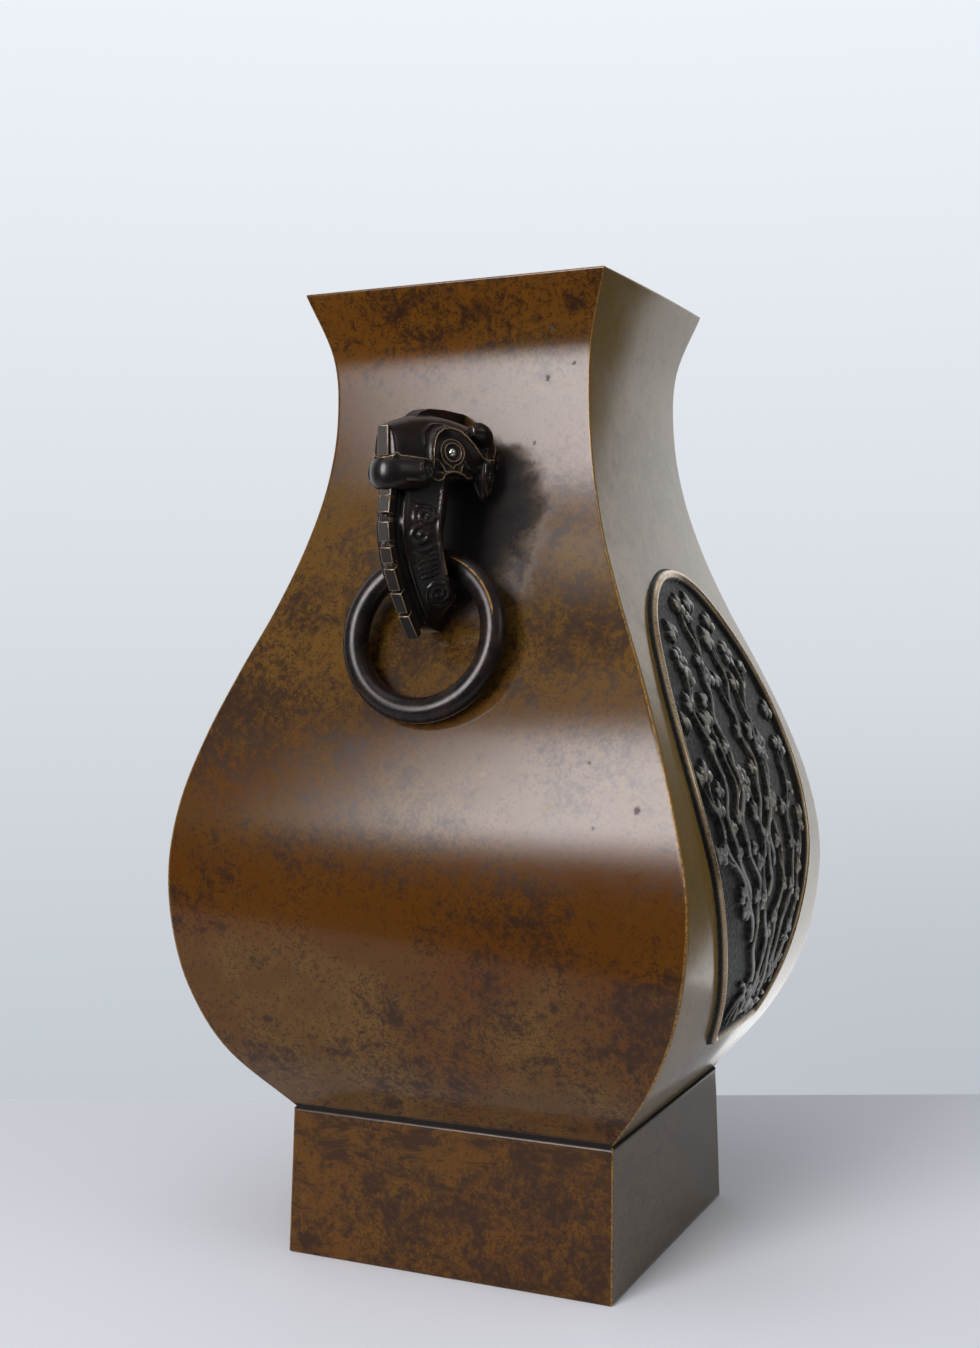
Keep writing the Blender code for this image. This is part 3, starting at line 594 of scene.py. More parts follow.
handleShape = {
    "height": 83 * mm, "drop": 134 * mm, "face": 51.79 * mm, "seatGap": 0.3 * mm,
    "sections": (  # distance out, half-width, top and underside, as shares of the height
        (-0.14, 0.219, 0.930, 0.665), (0.08, 0.216, 0.955, 0.655), (0.20, 0.208, 0.967, 0.648),
        (0.31, 0.190, 0.972, 0.642), (0.41, 0.146, 0.966, 0.636), (0.51, 0.112, 0.948, 0.632),
        (0.60, 0.086, 0.925, 0.630), (0.68, 0.064, 0.904, 0.632), (0.705, 0.050, 0.897, 0.640),
    ),
    "outline": (  # of half a section, as shares of its half-width and of its height
        (0.0, 1.0), (0.42, 0.97), (0.82, 0.82), (1.0, 0.52), (0.97, 0.24), (0.80, 0.04), (0.0, 0.0),
    ),
    "trunkRidge": (  # distance out, height and depth behind the ridge, from the snout to the wall
        (0.587, 0.70, 0.310), (0.587, 0.62, 0.310), (0.613, 0.48, 0.310), (0.592, 0.36, 0.300),
        (0.515, 0.22, 0.260), (0.410, 0.09, 0.260), (0.320, 0.02, 0.262), (0.200, 0.00, 0.262),
        (0.050, 0.00, 0.262),
    ),
    "trunkHalfWidths": (0.158, 0.158, 0.156, 0.156, 0.160, 0.148, 0.108, 0.080, 0.075),
    "ridgeHalf": 0.030, "wideDepth": 0.13,  # half-width of the ridge, and depth where the trunk is widest
    "trunkBack": ((0.90, 0.40), (0.60, 0.85), (0.22, 1.0)),  # behind that, as shares of width and depth
    "ringRadius": 28.4 * mm, "ringTube": 4.9 * mm, "loopRoom": 1.8 * mm,
    "eye": (0.385, 0.795),
    "voxel": 0.435 * mm,
}
handleBase = vesselShape["height"] - handleShape["drop"]


def handlePoint(x, out, up):
    # a place by its shares of the handle's height: across, out from the wall and up
    size = handleShape["height"]
    return Vector((x * size, -(handleShape["face"] + out * size), handleBase + up * size))


ringPivot = Vector(next(joint["pos_m"] for joint in frame["joints"] if joint["name"] == "front_ring_hinge"))


def ridgeFrame(index, ridge):
    # a place on the trunk's ridge and the direction into the trunk there
    before, after = ridge[max(index - 1, 0)], ridge[min(index + 1, len(ridge) - 1)]
    along = Vector((after[0] - before[0], after[1] - before[1])).normalized()
    return Vector(ridge[index][:2]), Vector((along.y, -along.x))


def makeHead():
    # the head without its trunk, from inside the wall to the snout
    rings = []
    for out, half, top, under in smoothPath(handleShape["sections"], 2):
        right = [(half * a, under + (top - under) * b) for a, b in handleShape["outline"]]
        ring = right + [(-x, up) for x, up in reversed(right[1:-1])]
        rings.append([handlePoint(x, out, up) for x, up in ring])
    head = loft("head", rings)
    applyModifier(head, "SUBSURF", levels=2, render_levels=2)
    return head


def trunkDepths(ridge, index):
    # the trunk's depth and the depth of its widest place, with room left for the ring in its loop
    point, inward = ridgeFrame(index, ridge)
    reach = (handlePoint(0, point.x, point.y) - ringPivot).length
    room = reach - handleShape["ringTube"] - handleShape["loopRoom"]
    depth = min(ridge[index][2], room / handleShape["height"])
    return point, inward, depth, min(handleShape["wideDepth"], 0.55 * depth)


def trunkWidth(ridge, index):
    return curveValue(handleShape["trunkHalfWidths"], index / (len(ridge) - 1))


def makeTrunk(ridge):
    # six-sided sections with a narrow ridge and a rounded back, all the way round the loop
    rings = []
    for index in range(len(ridge)):
        point, inward, depth, wide = trunkDepths(ridge, index)
        width = trunkWidth(ridge, index)
        half = [(handleShape["ridgeHalf"], 0), (width, wide)]
        half += [(width * narrow, wide + back * (depth - wide)) for narrow, back in handleShape["trunkBack"]]
        ring = half + [(-x, d) for x, d in reversed(half)]
        spots = [(x, point + inward * d) for x, d in ring]
        rings.append([handlePoint(x, spot.x, spot.y) for x, spot in spots])
    return loft("trunk", rings)


# values of the attribute high, from 0 in hollows to 1, which sets painted shade in the hollows and rubbed
# wear with a painted highlight on the ridges
wearAndGlint = {"plateFlat": 0.33, "plateEdge": 0.92, "line": 0.94, "pupil": 1.0}


def block(name, centre, axes, halves, bevel):
    # a cube turned to three axes and scaled, its edges rounded and marked for rubbed wear with a painted
    # highlight
    deselectAll()
    bpy.ops.mesh.primitive_cube_add(size=2)
    piece = bpy.context.active_object
    piece.name = name
    turn = Matrix([axis * half for axis, half in zip(axes, halves)]).transposed().to_4x4()
    piece.data.transform(Matrix.Translation(centre) @ turn)
    pick(piece)
    bpy.ops.object.mode_set(mode="EDIT")
    bpy.ops.mesh.select_all(action="SELECT")
    bpy.ops.mesh.normals_make_consistent(inside=False)
    bpy.ops.mesh.bevel(offset=bevel, segments=2, affect="EDGES")
    bpy.ops.mesh.select_all(action="DESELECT")
    sheet = bmesh.from_edit_mesh(piece.data)
    sides = sorted(sheet.faces, key=lambda face: face.calc_area())[-6:]
    for face in sides:
        face.select = True
    bmesh.update_edit_mesh(piece.data)
    bpy.ops.mesh.inset(thickness=0.8 * bevel, use_individual=True)
    sheet = bmesh.from_edit_mesh(piece.data)
    inner = {vert.index for vert in sheet.verts if vert.select}
    bpy.ops.object.mode_set(mode="OBJECT")
    setAttribute(piece, "high", [wearAndGlint["plateFlat"] if i in inner else wearAndGlint["plateEdge"]
                                 for i in range(len(piece.data.vertices))])
    return piece


combShape = {
    "startUp": 0.62, "endOut": 0.37, "endUp": 0.06,  # on the ridge, as shares of the handle's height
    "plateEnds": (0.0, 0.085, 0.200, 0.335, 0.450, 0.620, 0.785, 1.0),  # as shares of the comb's length
    "gap": 0.45 * mm, "proud": 9 * mm, "thickness": 4.3 * mm,
    "snoutPlace": (0.708, 0.822), "snoutHalfDepth": 1.2 * mm, "snoutHalfHeight": 5.4 * mm,
}


def makeComb(ridge):
    # flat plates in a row down the trunk's ridge, each on a narrower web, and one up the front of the snout
    comb, size = combShape, handleShape["height"]
    line = [Vector(spot[:2]) for spot in ridge]
    first = min(range(len(line)), key=lambda i: abs(line[i].y - comb["startUp"]))
    last = min(range(len(line)),
               key=lambda i: abs(line[i].y - comb["endUp"]) + abs(line[i].x - comb["endOut"]))
    line = line[first:last + 1]
    lengths = [0.0]
    for a, b in zip(line, line[1:]):
        lengths.append(lengths[-1] + (b - a).length)
    proud = comb["proud"] / size
    thick = comb["thickness"] / 2
    plates, webs = [], []
    for start, end in zip(comb["plateEnds"], comb["plateEnds"][1:]):
        target = (start + end) / 2 * lengths[-1]
        reach = (end - start) * lengths[-1] * size
        index = max(i for i in range(len(lengths) - 1) if lengths[i] <= target)
        along = (line[index + 1] - line[index]).normalized()
        out = Vector((-along.y, along.x))
        root = line[index] + along * (target - lengths[index])
        axes = (Vector((1, 0, 0)), Vector((0, -along.x, along.y)), Vector((0, -out.x, out.y)))
        plate = (thick, (reach - comb["gap"]) / 2, 0.20 * proud * size)
        web = (thick * 0.50, 0.50 * reach, 0.50 * proud * size)
        # the plate is four fifths of the way out, and its web one fifth
        for pieces, name, share, halves, bevel in ((plates, "plate", 0.80, plate, 0.22 * mm),
                                                   (webs, "web", 0.20, web, 0.2 * mm)):
            spot = root + out * proud * share
            pieces.append(block(name, handlePoint(0, spot.x, spot.y), axes, halves, bevel))
    front = (Vector((1, 0, 0)), Vector((0, -1, 0)), Vector((0, 0, 1)))
    halves = (thick, comb["snoutHalfDepth"], comb["snoutHalfHeight"])
    plates.append(block("snoutPlate", handlePoint(0, *comb["snoutPlace"]), front, halves, 0.25 * mm))
    return plates, webs


class Surface:
    # finds the nearest place on a form, so that carved lines lie on it
    def __init__(self, piece):
        self.tree = BVHTree.FromObject(piece, bpy.context.evaluated_depsgraph_get())

    def at(self, place, lift):
        spot, normal, _, _ = self.tree.find_nearest(place)
        return spot + normal * lift

    def line(self, name, places, radius, taper=None, lift=0.0, steps=5):
        path = smoothPath([tuple(place) for place in places], steps)
        return tube(name, [self.at(spot, lift) for spot in path], radius, taper)


def cheekPlace(side, forward, up):
    # a rough place beside the head, measured from the eye, to be laid on the surface
    out = handleShape["eye"][0] + 0.92 * forward
    widths = [(row[0], row[1]) for row in handleShape["sections"]]
    width = np.interp(out, [row[0] for row in widths], [row[1] for row in widths])
    return handlePoint(side * (width + 0.02), out, handleShape["eye"][1] + up)


def curlSteps(radius, turns, start, count, closing):
    # angles and reaches along a spiral that closes in on its centre
    steps = []
    for i in range(count + 1):
        t = i / count
        steps.append((start + 2 * math.pi * turns * t, radius * (1 - closing * t)))
    return steps


def eyeCircle(side, radius, count):
    # places on the cheek round the eye, a little flatter than a circle
    return [cheekPlace(side, radius * math.cos(a), radius * faceShape["eyeFlatness"] * math.sin(a))
            for a in np.linspace(0, 2 * math.pi, count)]


faceShape = {
    "lines": {  # forward of the eye and above it, as shares of the handle's height
        "brow": (
            (0.125, -0.075), (0.128, 0.000), (0.095, 0.075), (0.030, 0.115), (-0.045, 0.108),
            (-0.110, 0.060), (-0.170, 0.008), (-0.230, -0.020), (-0.295, -0.010), (-0.345, 0.040),
            (-0.350, 0.105), (-0.310, 0.150), (-0.250, 0.150), (-0.215, 0.105),
        ),
        "lowerLid": ((0.085, -0.040), (0.040, -0.082), (-0.020, -0.088), (-0.075, -0.055)),
        "jaw": (
            (0.165, -0.120), (0.110, -0.130), (0.055, -0.105), (0.000, -0.088), (-0.050, -0.100),
            (-0.110, -0.125), (-0.160, -0.120),
        ),
        "cheek": ((-0.085, -0.040), (-0.130, -0.075), (-0.185, -0.080), (-0.225, -0.050)),
        "temple": ((0.160, 0.020), (0.150, 0.090), (0.090, 0.145), (0.010, 0.160), (-0.070, 0.145)),
    },
    "bars": (  # name, the line that it follows, radius and lift in mm, and taper
        ("brow", "brow", 1.15, 0.9, (0.7, 1.0, 1.15, 1.1, 1.0, 0.95, 0.8, 0.6)),
        ("browFoot", "brow", 1.9, -0.5, (0.7, 1.0, 1.1, 1.1, 1.0, 0.9, 0.7, 0.5)),
        ("lowerLid", "lowerLid", 0.8, 0.3, (0.5, 1, 0.5)),
        ("jaw", "jaw", 1.1, 0.6, (0.8, 1.1, 1.0, 0.6)),
        ("cheek", "cheek", 0.9, 0.2, (0.5, 1, 0.6)),
        ("templeLine", "temple", 0.6, 0.1, (0.5, 1, 0.5)),
    ),
    # centre, then radius, turns, start, steps and closing, then radius and lift of the bar in mm, and taper
    "cheekCurl": ((-0.060, -0.118), (0.036, 1.2, 0.5, 20, 0.86), 0.7, 0.3, (0.6, 1, 1.2)),
    "hornCurl": ((-0.285, 0.085), (0.052, 1.4, 2.6, 26, 0.86), 1.2, 0.8, (0.6, 1, 1.3, 1.5)),
    "eyeRings": ((0.069, 0.62, 0.15), (0.047, 0.60, 0.45)),  # radius, then radius and lift of the bar in mm
    "eyeFlatness": 0.88,
    "horn": ((0.196, 0.262, 0.898), (0.206, 0.215, 0.897), (0.211, 0.165, 0.882), (0.205, 0.115, 0.858)),
    "hornRadius": 3.9 * mm, "hornTaper": (0.45, 0.95, 1.0, 0.75),
}


def makeFace(head):
    # eyes, brows, jaws, cheeks, horns and ears, on both sides
    surface = Surface(head)
    face = faceShape
    pieces = []

    def addCurl(name, side):
        (forward, up), steps, radius, lift, taper = face[name]
        places = [cheekPlace(side, forward + reach * math.cos(angle), up + reach * math.sin(angle))
                  for angle, reach in curlSteps(*steps)]
        pieces.append(surface.line(name, places, radius * mm, taper, lift * mm, steps=1))

    for side in (1, -1):
        for name, key, radius, lift, taper in face["bars"]:
            places = [cheekPlace(side, *spot) for spot in face["lines"][key]]
            pieces.append(surface.line(name, places, radius * mm, taper, lift * mm))
        addCurl("cheekCurl", side)
        for radius, thick, lift in face["eyeRings"]:
            places = [surface.at(spot, lift * mm) for spot in eyeCircle(side, radius, 25)]
            pieces.append(tube("eyeRing", places, thick * mm))
        addCurl("hornCurl", side)
        horn = smoothPath([handlePoint(side * x, out, up) for x, out, up in face["horn"]], 5)
        pieces.append(tube("horn", horn, face["hornRadius"], face["hornTaper"], sides=6))
        pieces += makeEar(side)
    return pieces


earShape = {
    "rows": (  # height, half-width and depth of each ring
        (0.860, 0.014, 0.022), (0.835, 0.036, 0.044), (0.780, 0.054, 0.062), (0.715, 0.056, 0.064),
        (0.655, 0.042, 0.050), (0.615, 0.022, 0.030), (0.596, 0.008, 0.014),
    ),
    "across": 0.192, "out": 0.125, "outerSide": 0.254,
    "rimMiddle": (0.145, 0.725), "rimSize": (0.055, 0.120), "rimEnds": (-2.6, 2.2),
    "curlOut": 0.150, "curls": ((0.770, 0.034), (0.688, 0.030)),  # height and radius
}


def makeEar(side):
    # a leaf-shaped ear against the wall, with a rolled rim and two curls inside
    shape = earShape
    angles = [math.pi * j / 6 for j in range(12)]
    rings = []
    for up, across, deep in shape["rows"]:
        rings.append([handlePoint(side * (shape["across"] + across * math.cos(a)),
                                  shape["out"] + deep * math.sin(a), up) for a in angles])
    ear = loft("ear", rings)
    applyModifier(ear, "SUBSURF", levels=1, render_levels=1)
    surface = Surface(ear)
    (out, up), (deep, high) = shape["rimMiddle"], shape["rimSize"]
    outer = side * shape["outerSide"]
    rim = [handlePoint(outer, out + deep * math.cos(a), up + high * math.sin(a))
           for a in np.linspace(*shape["rimEnds"], 18)]
    pieces = [ear, surface.line("earRim", rim, 0.8 * mm, (0.5, 1, 1, 0.6), 0.2 * mm, steps=1)]
    out = shape["curlOut"]
    for level, radius in shape["curls"]:
        curl = [handlePoint(outer, out + reach * math.cos(angle), level + reach * math.sin(angle))
                for angle, reach in curlSteps(radius, 1.15, 0.6, 17, 0.8)]
        pieces.append(surface.line("earCurl", curl, 0.65 * mm, (0.7, 1, 1.2), 0.25 * mm, steps=1))
    return pieces


lipShape = {
    # across and out, from the corner of the mouth to the middle of the snout
    "path": ((0.118, 0.500), (0.108, 0.532), (0.086, 0.582), (0.060, 0.634), (0.030, 0.680), (0.0, 0.696)),
    "level": 0.690, "halfDepth": 0.050, "halfHeight": 0.078,
    "nostril": (0.150, 0.572, 0.700), "seamLevel": 0.775, "mouthLevel": 0.640,
}


def makeLip():
    # the smooth roll round the snout, ending in a nostril curl on each side
    shape = lipShape
    right = smoothPath(shape["path"], 2)
    places = [Vector((spot.x, spot.y, shape["level"])) for spot in right]
    places += [Vector((-spot.x, spot.y, shape["level"])) for spot in reversed(right[:-1])]
    rings = []
    last = len(places) - 1
    for i, place in enumerate(places):
        along = (places[min(i + 1, last)] - places[max(i - 1, 0)]).normalized()
        across = along.cross(Vector((0, 0, 1))).normalized()
        swell = 0.62 + 0.38 * math.sin(math.pi * i / last) ** 0.6  # thinner towards the corners
        lift = Vector((0, 0, 0.012 * (1 - swell)))
        rings.append([handlePoint(*(place + lift + across * shape["halfDepth"] * swell * math.cos(a)
                                    + Vector((0, 0, shape["halfHeight"] * swell * math.sin(a)))))
                      for a in np.linspace(0, 2 * math.pi, 17)[:-1]])
    lip = loft("lip", rings)
    applyModifier(lip, "SUBSURF", levels=1, render_levels=1)
    pieces = [lip]
    surface = Surface(lip)
    aside, out, up = shape["nostril"]
    for side in (1, -1):
        curl = [handlePoint(side * aside, out + reach * math.cos(angle), up + reach * 1.1 * math.sin(angle))
                for angle, reach in curlSteps(0.056, -1.05, 2.4, 25, 0.75)]
        pieces.append(surface.line("nostril", curl, 0.85 * mm, (0.5, 1.3, 1.1, 0.8), 0.05 * mm, steps=1))
        seam = [handlePoint(side * (0.05 + spot.x), spot.y + 0.03, shape["seamLevel"]) for spot in right]
        pieces.append(tube("lipSeam", [surface.at(spot, 0.25 * mm) for spot in seam], 0.50 * mm))
        lower = [handlePoint(side * (0.06 + spot.x), spot.y + 0.03, shape["mouthLevel"] + 0.05 * spot.x)
                 for spot in right[:8]]
        pieces.append(tube("mouthLine", [surface.at(spot, 0.1 * mm) for spot in lower], 0.45 * mm))
    return pieces


def trunkPlace(ridge, side, index, across):
    # a place on a slanting face of the trunk: across runs from the ridge to the edge
    point, inward, _, wide = trunkDepths(ridge, index)
    slant = Vector((trunkWidth(ridge, index) - handleShape["ridgeHalf"], wide)) * across
    spot = point + inward * slant.y
    return handlePoint(side * (handleShape["ridgeHalf"] + slant.x), spot.x, spot.y)


trunkCarving = {  # places along are shares of the trunk's length, places across of a slanting face
    "start": 0.06, "borders": ((0.06, 0.60, 0.66), (0.95, 0.75, 0.50)),  # across, radius in mm, and end
    "scrolls": (  # middle along and across, radius, turns and start
        (0.172, 0.60, 0.058, 1.9, 2.4), (0.276, 0.50, 0.060, -1.35, -0.8), (0.572, 0.60, 0.076, 2.4, 1.2),
    ),
    "faceWidth": 0.182,
    "crescents": ((0.118, 0.25, 0.85), (0.338, 0.22, 0.80), (0.352, 0.30, 0.72)),  # along, across from, to
    "bars": (0.380, 0.403, 0.426, 0.449, 0.472), "barPlaces": (0.26, 0.45, 0.62, 0.78),
}


def makeTrunkCarving(trunk, ridge):
    # raised borders, scrolls, crescents and cross bars on each slanting face
    surface = Surface(trunk)
    carving = trunkCarving
    pieces = []
    lengths = [0.0]
    for a, b in zip(ridge, ridge[1:]):
        lengths.append(lengths[-1] + math.dist(a[:2], b[:2]))

    def along(share):
        # a row number of the ridge, not a whole one, at a share of its length from the snout
        target = share * lengths[-1]
        return float(np.interp(target, lengths, range(len(lengths))))

    def facePlace(side, share, across):
        low = min(int(along(share)), len(ridge) - 2)
        t = along(share) - low
        return trunkPlace(ridge, side, low, across).lerp(trunkPlace(ridge, side, low + 1, across), t)

    for side in (1, -1):
        for across, radius, end in carving["borders"]:
            places = [facePlace(side, share, across) for share in np.linspace(carving["start"], end, 24)]
            pieces.append(surface.line("border", places, radius * mm, (0.8, 1, 1, 0.8), 0.1 * mm, steps=1))
        for centre, middle, size, turns, start in carving["scrolls"]:
            curl = []
            for angle, reach in curlSteps(size, turns, start, 43, 0.88):
                shift = reach * math.sin(angle) / lengths[-1]
                across = middle + reach * math.cos(angle) / carving["faceWidth"]
                curl.append(facePlace(side, centre + shift, across))
            pieces.append(surface.line("scroll", curl, 0.74 * mm, (0.8, 1, 1.05, 1.2), 0.22 * mm, steps=1))
        for level, low, high in carving["crescents"]:
            crescent = [facePlace(side, level + 0.018 * math.sin(math.pi * t), low + (high - low) * t)
                        for t in np.linspace(0, 1, 10)]
            pieces.append(surface.line("crescent", crescent, 0.66 * mm, (0.4, 1.1, 0.4), 0.2 * mm, steps=1))
        for share in carving["bars"]:
            bar = [facePlace(side, share, across) for across in carving["barPlaces"]]
            pieces.append(surface.line("bar", bar, 0.66 * mm, (0.6, 1, 1, 0.5), 0.2 * mm, steps=2))
    return pieces


crestShape = {
    "outline": (  # distance out and height, round its side
        (-0.10, 0.90), (-0.10, 1.010), (0.00, 1.014), (0.20, 1.010), (0.33, 1.000), (0.40, 0.985),
        (0.455, 0.962), (0.46, 0.93), (0.30, 0.90),
    ),
    "halfWidth": 0.033, "bevel": 0.45 * mm,
}


def makeCrest():
    # a thin plate that stands along the top of the head, its front end sloping down to the forehead
    shape = crestShape
    crest = startLoop("crest", [handlePoint(-shape["halfWidth"], out, up) for out, up in shape["outline"]])
    width = 2 * shape["halfWidth"] * handleShape["height"]
    bpy.ops.mesh.extrude_region_move(TRANSFORM_OT_translate={"value": (width, 0, 0)})
    closeEnds()
    pick(crest)
    bpy.ops.object.mode_set(mode="EDIT")
    bpy.ops.mesh.select_all(action="SELECT")
    bpy.ops.mesh.bevel(offset=shape["bevel"], segments=2, affect="EDGES")
    bpy.ops.object.mode_set(mode="OBJECT")
    return crest


def cutWall(handle):
    # cuts the handle off just short of the wall, with a block that follows the wall's curve
    low, high = handleBase - 20 * mm, handleBase + 100 * mm
    rings = []
    for i in range(33):
        z = low + (high - low) * i / 32
        y = halfY(z) + handleShape["seatGap"] * math.hypot(1, slope(halfY, z))
        rings.append([(0.1, -y, z), (0.1, 0.01, z), (-0.1, 0.01, z), (-0.1, -y, z)])
    wall = loft("wall", rings)
    applyModifier(handle, "BOOLEAN", operation="DIFFERENCE", solver="EXACT", object=wall)
    bpy.data.objects.remove(wall)


def markHigh(piece, name, rounds):
    # an attribute that is high on ridges and low in hollows
    mesh = piece.data
    count = len(mesh.vertices)
    spots, normals = np.empty(count * 3), np.empty(count * 3)
    mesh.vertices.foreach_get("co", spots)
    mesh.vertices.foreach_get("normal", normals)
    spots, normals = spots.reshape(-1, 3), normals.reshape(-1, 3)
    edges = np.empty(len(mesh.edges) * 2, dtype=np.int64)
    mesh.edges.foreach_get("vertices", edges)
    a, b = edges.reshape(-1, 2).T
    weight = np.bincount(a, minlength=count) + np.bincount(b, minlength=count)

    def blurred(values):
        total = np.bincount(a, values[b], minlength=count) + np.bincount(b, values[a], minlength=count)
        return (values + total) / (weight + 1)

    smooth = spots.copy()
    for _ in range(rounds):
        smooth = np.stack([blurred(smooth[:, i]) for i in range(3)], axis=1)
    high = np.einsum("ij,ij->i", spots - smooth, normals)
    high = blurred(high)
    setAttribute(piece, name, np.clip(0.5 + high / (0.8 * mm), 0, 1))


wornAndLitLineShape = {
    "radius": 0.26 * mm, "pupilRadius": 1.7 * mm,
    "faceLines": (("brow", 2.2), ("jaw", 1.6), ("lowerLid", 1.2)),  # and how far out the ridge lies, in mm
    "lipLevel": 0.770,
    "lip": (
        (0.16, 0.505), (0.15, 0.545), (0.13, 0.590), (0.10, 0.640), (0.075, 0.690), (0.045, 0.735),
        (0.0, 0.750),
    ),
    "eyeRadii": (0.072, 0.049),
}


def makeWornAndLitLines(handle):
    # thin bright lines of rubbed wear with a painted highlight, laid on the ridges, and the pupils with a
    # painted glint
    surface = Surface(handle)
    shape = wornAndLitLineShape
    pieces = []
    radius = shape["radius"]
    for side in (1, -1):
        for key, reach in shape["faceLines"]:
            out = Vector((side * reach * mm, 0, 0))
            places = [cheekPlace(side, *spot) + out for spot in faceShape["lines"][key]]
            pieces.append(surface.line(key + "Edge", places, radius, (0.5, 1.2, 1, 1, 0.4), steps=8))
        seam = [handlePoint(side * x, out, shape["lipLevel"]) for x, out in shape["lip"]]
        pieces.append(surface.line("lipEdge", seam, radius, (0.4, 1, 1, 0.8), steps=6))
        for reach in shape["eyeRadii"]:
            rim = [surface.at(spot, 0) for spot in eyeCircle(side, reach, 37)]
            pieces.append(tube("eyeEdge", rim, 0.8 * radius))
        deselectAll()
        bpy.ops.mesh.primitive_uv_sphere_add(segments=20, ring_count=12, radius=shape["pupilRadius"],
                                             location=surface.at(cheekPlace(side, 0, 0), -0.1 * mm))
        pupil = bpy.context.active_object
        pupil.name = "pupil"
        bpy.ops.object.transform_apply(location=True, rotation=True, scale=True)
        pieces.append(pupil)
    for piece in pieces:
        high = wearAndGlint["pupil" if piece.name.startswith("pupil") else "line"]
        setAttribute(piece, "high", [high] * len(piece.data.vertices))
    return pieces


def makeHandle():
    print("front handle")
    ridge = [tuple(spot) for spot in smoothPath(handleShape["trunkRidge"], 4)]
    head = makeHead()
    trunk = makeTrunk(ridge)
    plates, webs = makeComb(ridge)
    pieces = [head, trunk, makeCrest()] + webs
    pieces += makeFace(head)
    pieces += makeLip()
    pieces += makeTrunkCarving(trunk, ridge)
    handle = joined("frontHandle", pieces)
    applyModifier(handle, "REMESH", mode="VOXEL", voxel_size=handleShape["voxel"], use_smooth_shade=True)
    applyModifier(handle, "SMOOTH", factor=0.5, iterations=1)
    cutWall(handle)
    markHigh(handle, "high", 8)
    handle = joined("frontHandle", [handle] + plates + makeWornAndLitLines(handle))
    handle.data.shade_smooth()
    return handle


def ringLean():
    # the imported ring's lean, from how far its middle stands out from its pivot
    low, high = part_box("front_ring")
    return math.asin((ringPivot.y - (low[1] + high[1]) / 2) / handleShape["ringRadius"])


# the ring's casting seam: its angle round the tube, and its middle and half-length round the ring
seamShape = {"angle": 2 * math.pi * 6 / 32, "middle": 0.72, "halfLength": 0.42}


def makeRing():
    print("front ring")
    radius, seam = handleShape["ringRadius"], seamShape
    deselectAll()
    bpy.ops.mesh.primitive_torus_add(major_segments=120, minor_segments=32,
                                     major_radius=radius, minor_radius=handleShape["ringTube"])
    ring = bpy.context.active_object
    ring.name = "frontRing"
    spots = np.empty(len(ring.data.vertices) * 3)
    ring.data.vertices.foreach_get("co", spots)
    x, y, z = spots.reshape(-1, 3).T
    # how far each place is from the casting seam, in angle round the tube, and past its ends
    inward = np.arctan2(z, np.hypot(x, y) - radius)  # 0 at the ring's outside
    off = np.abs((inward - seam["angle"] + math.pi) % (2 * math.pi) - math.pi)
    beyond = np.abs(np.arctan2(y, x) - seam["middle"]) - seam["halfLength"]
    setAttribute(ring, "offSeam", off + np.clip(beyond, 0, 1))
    hang = Matrix.Rotation(math.pi / 2, 4, "X")
    swing = Matrix.Rotation(-ringLean(), 4, "X")
    down = Matrix.Translation((0, 0, -radius))
    ring.data.transform(Matrix.Translation(ringPivot) @ swing @ down @ hang)
    ring.data.shade_smooth()
    return ring


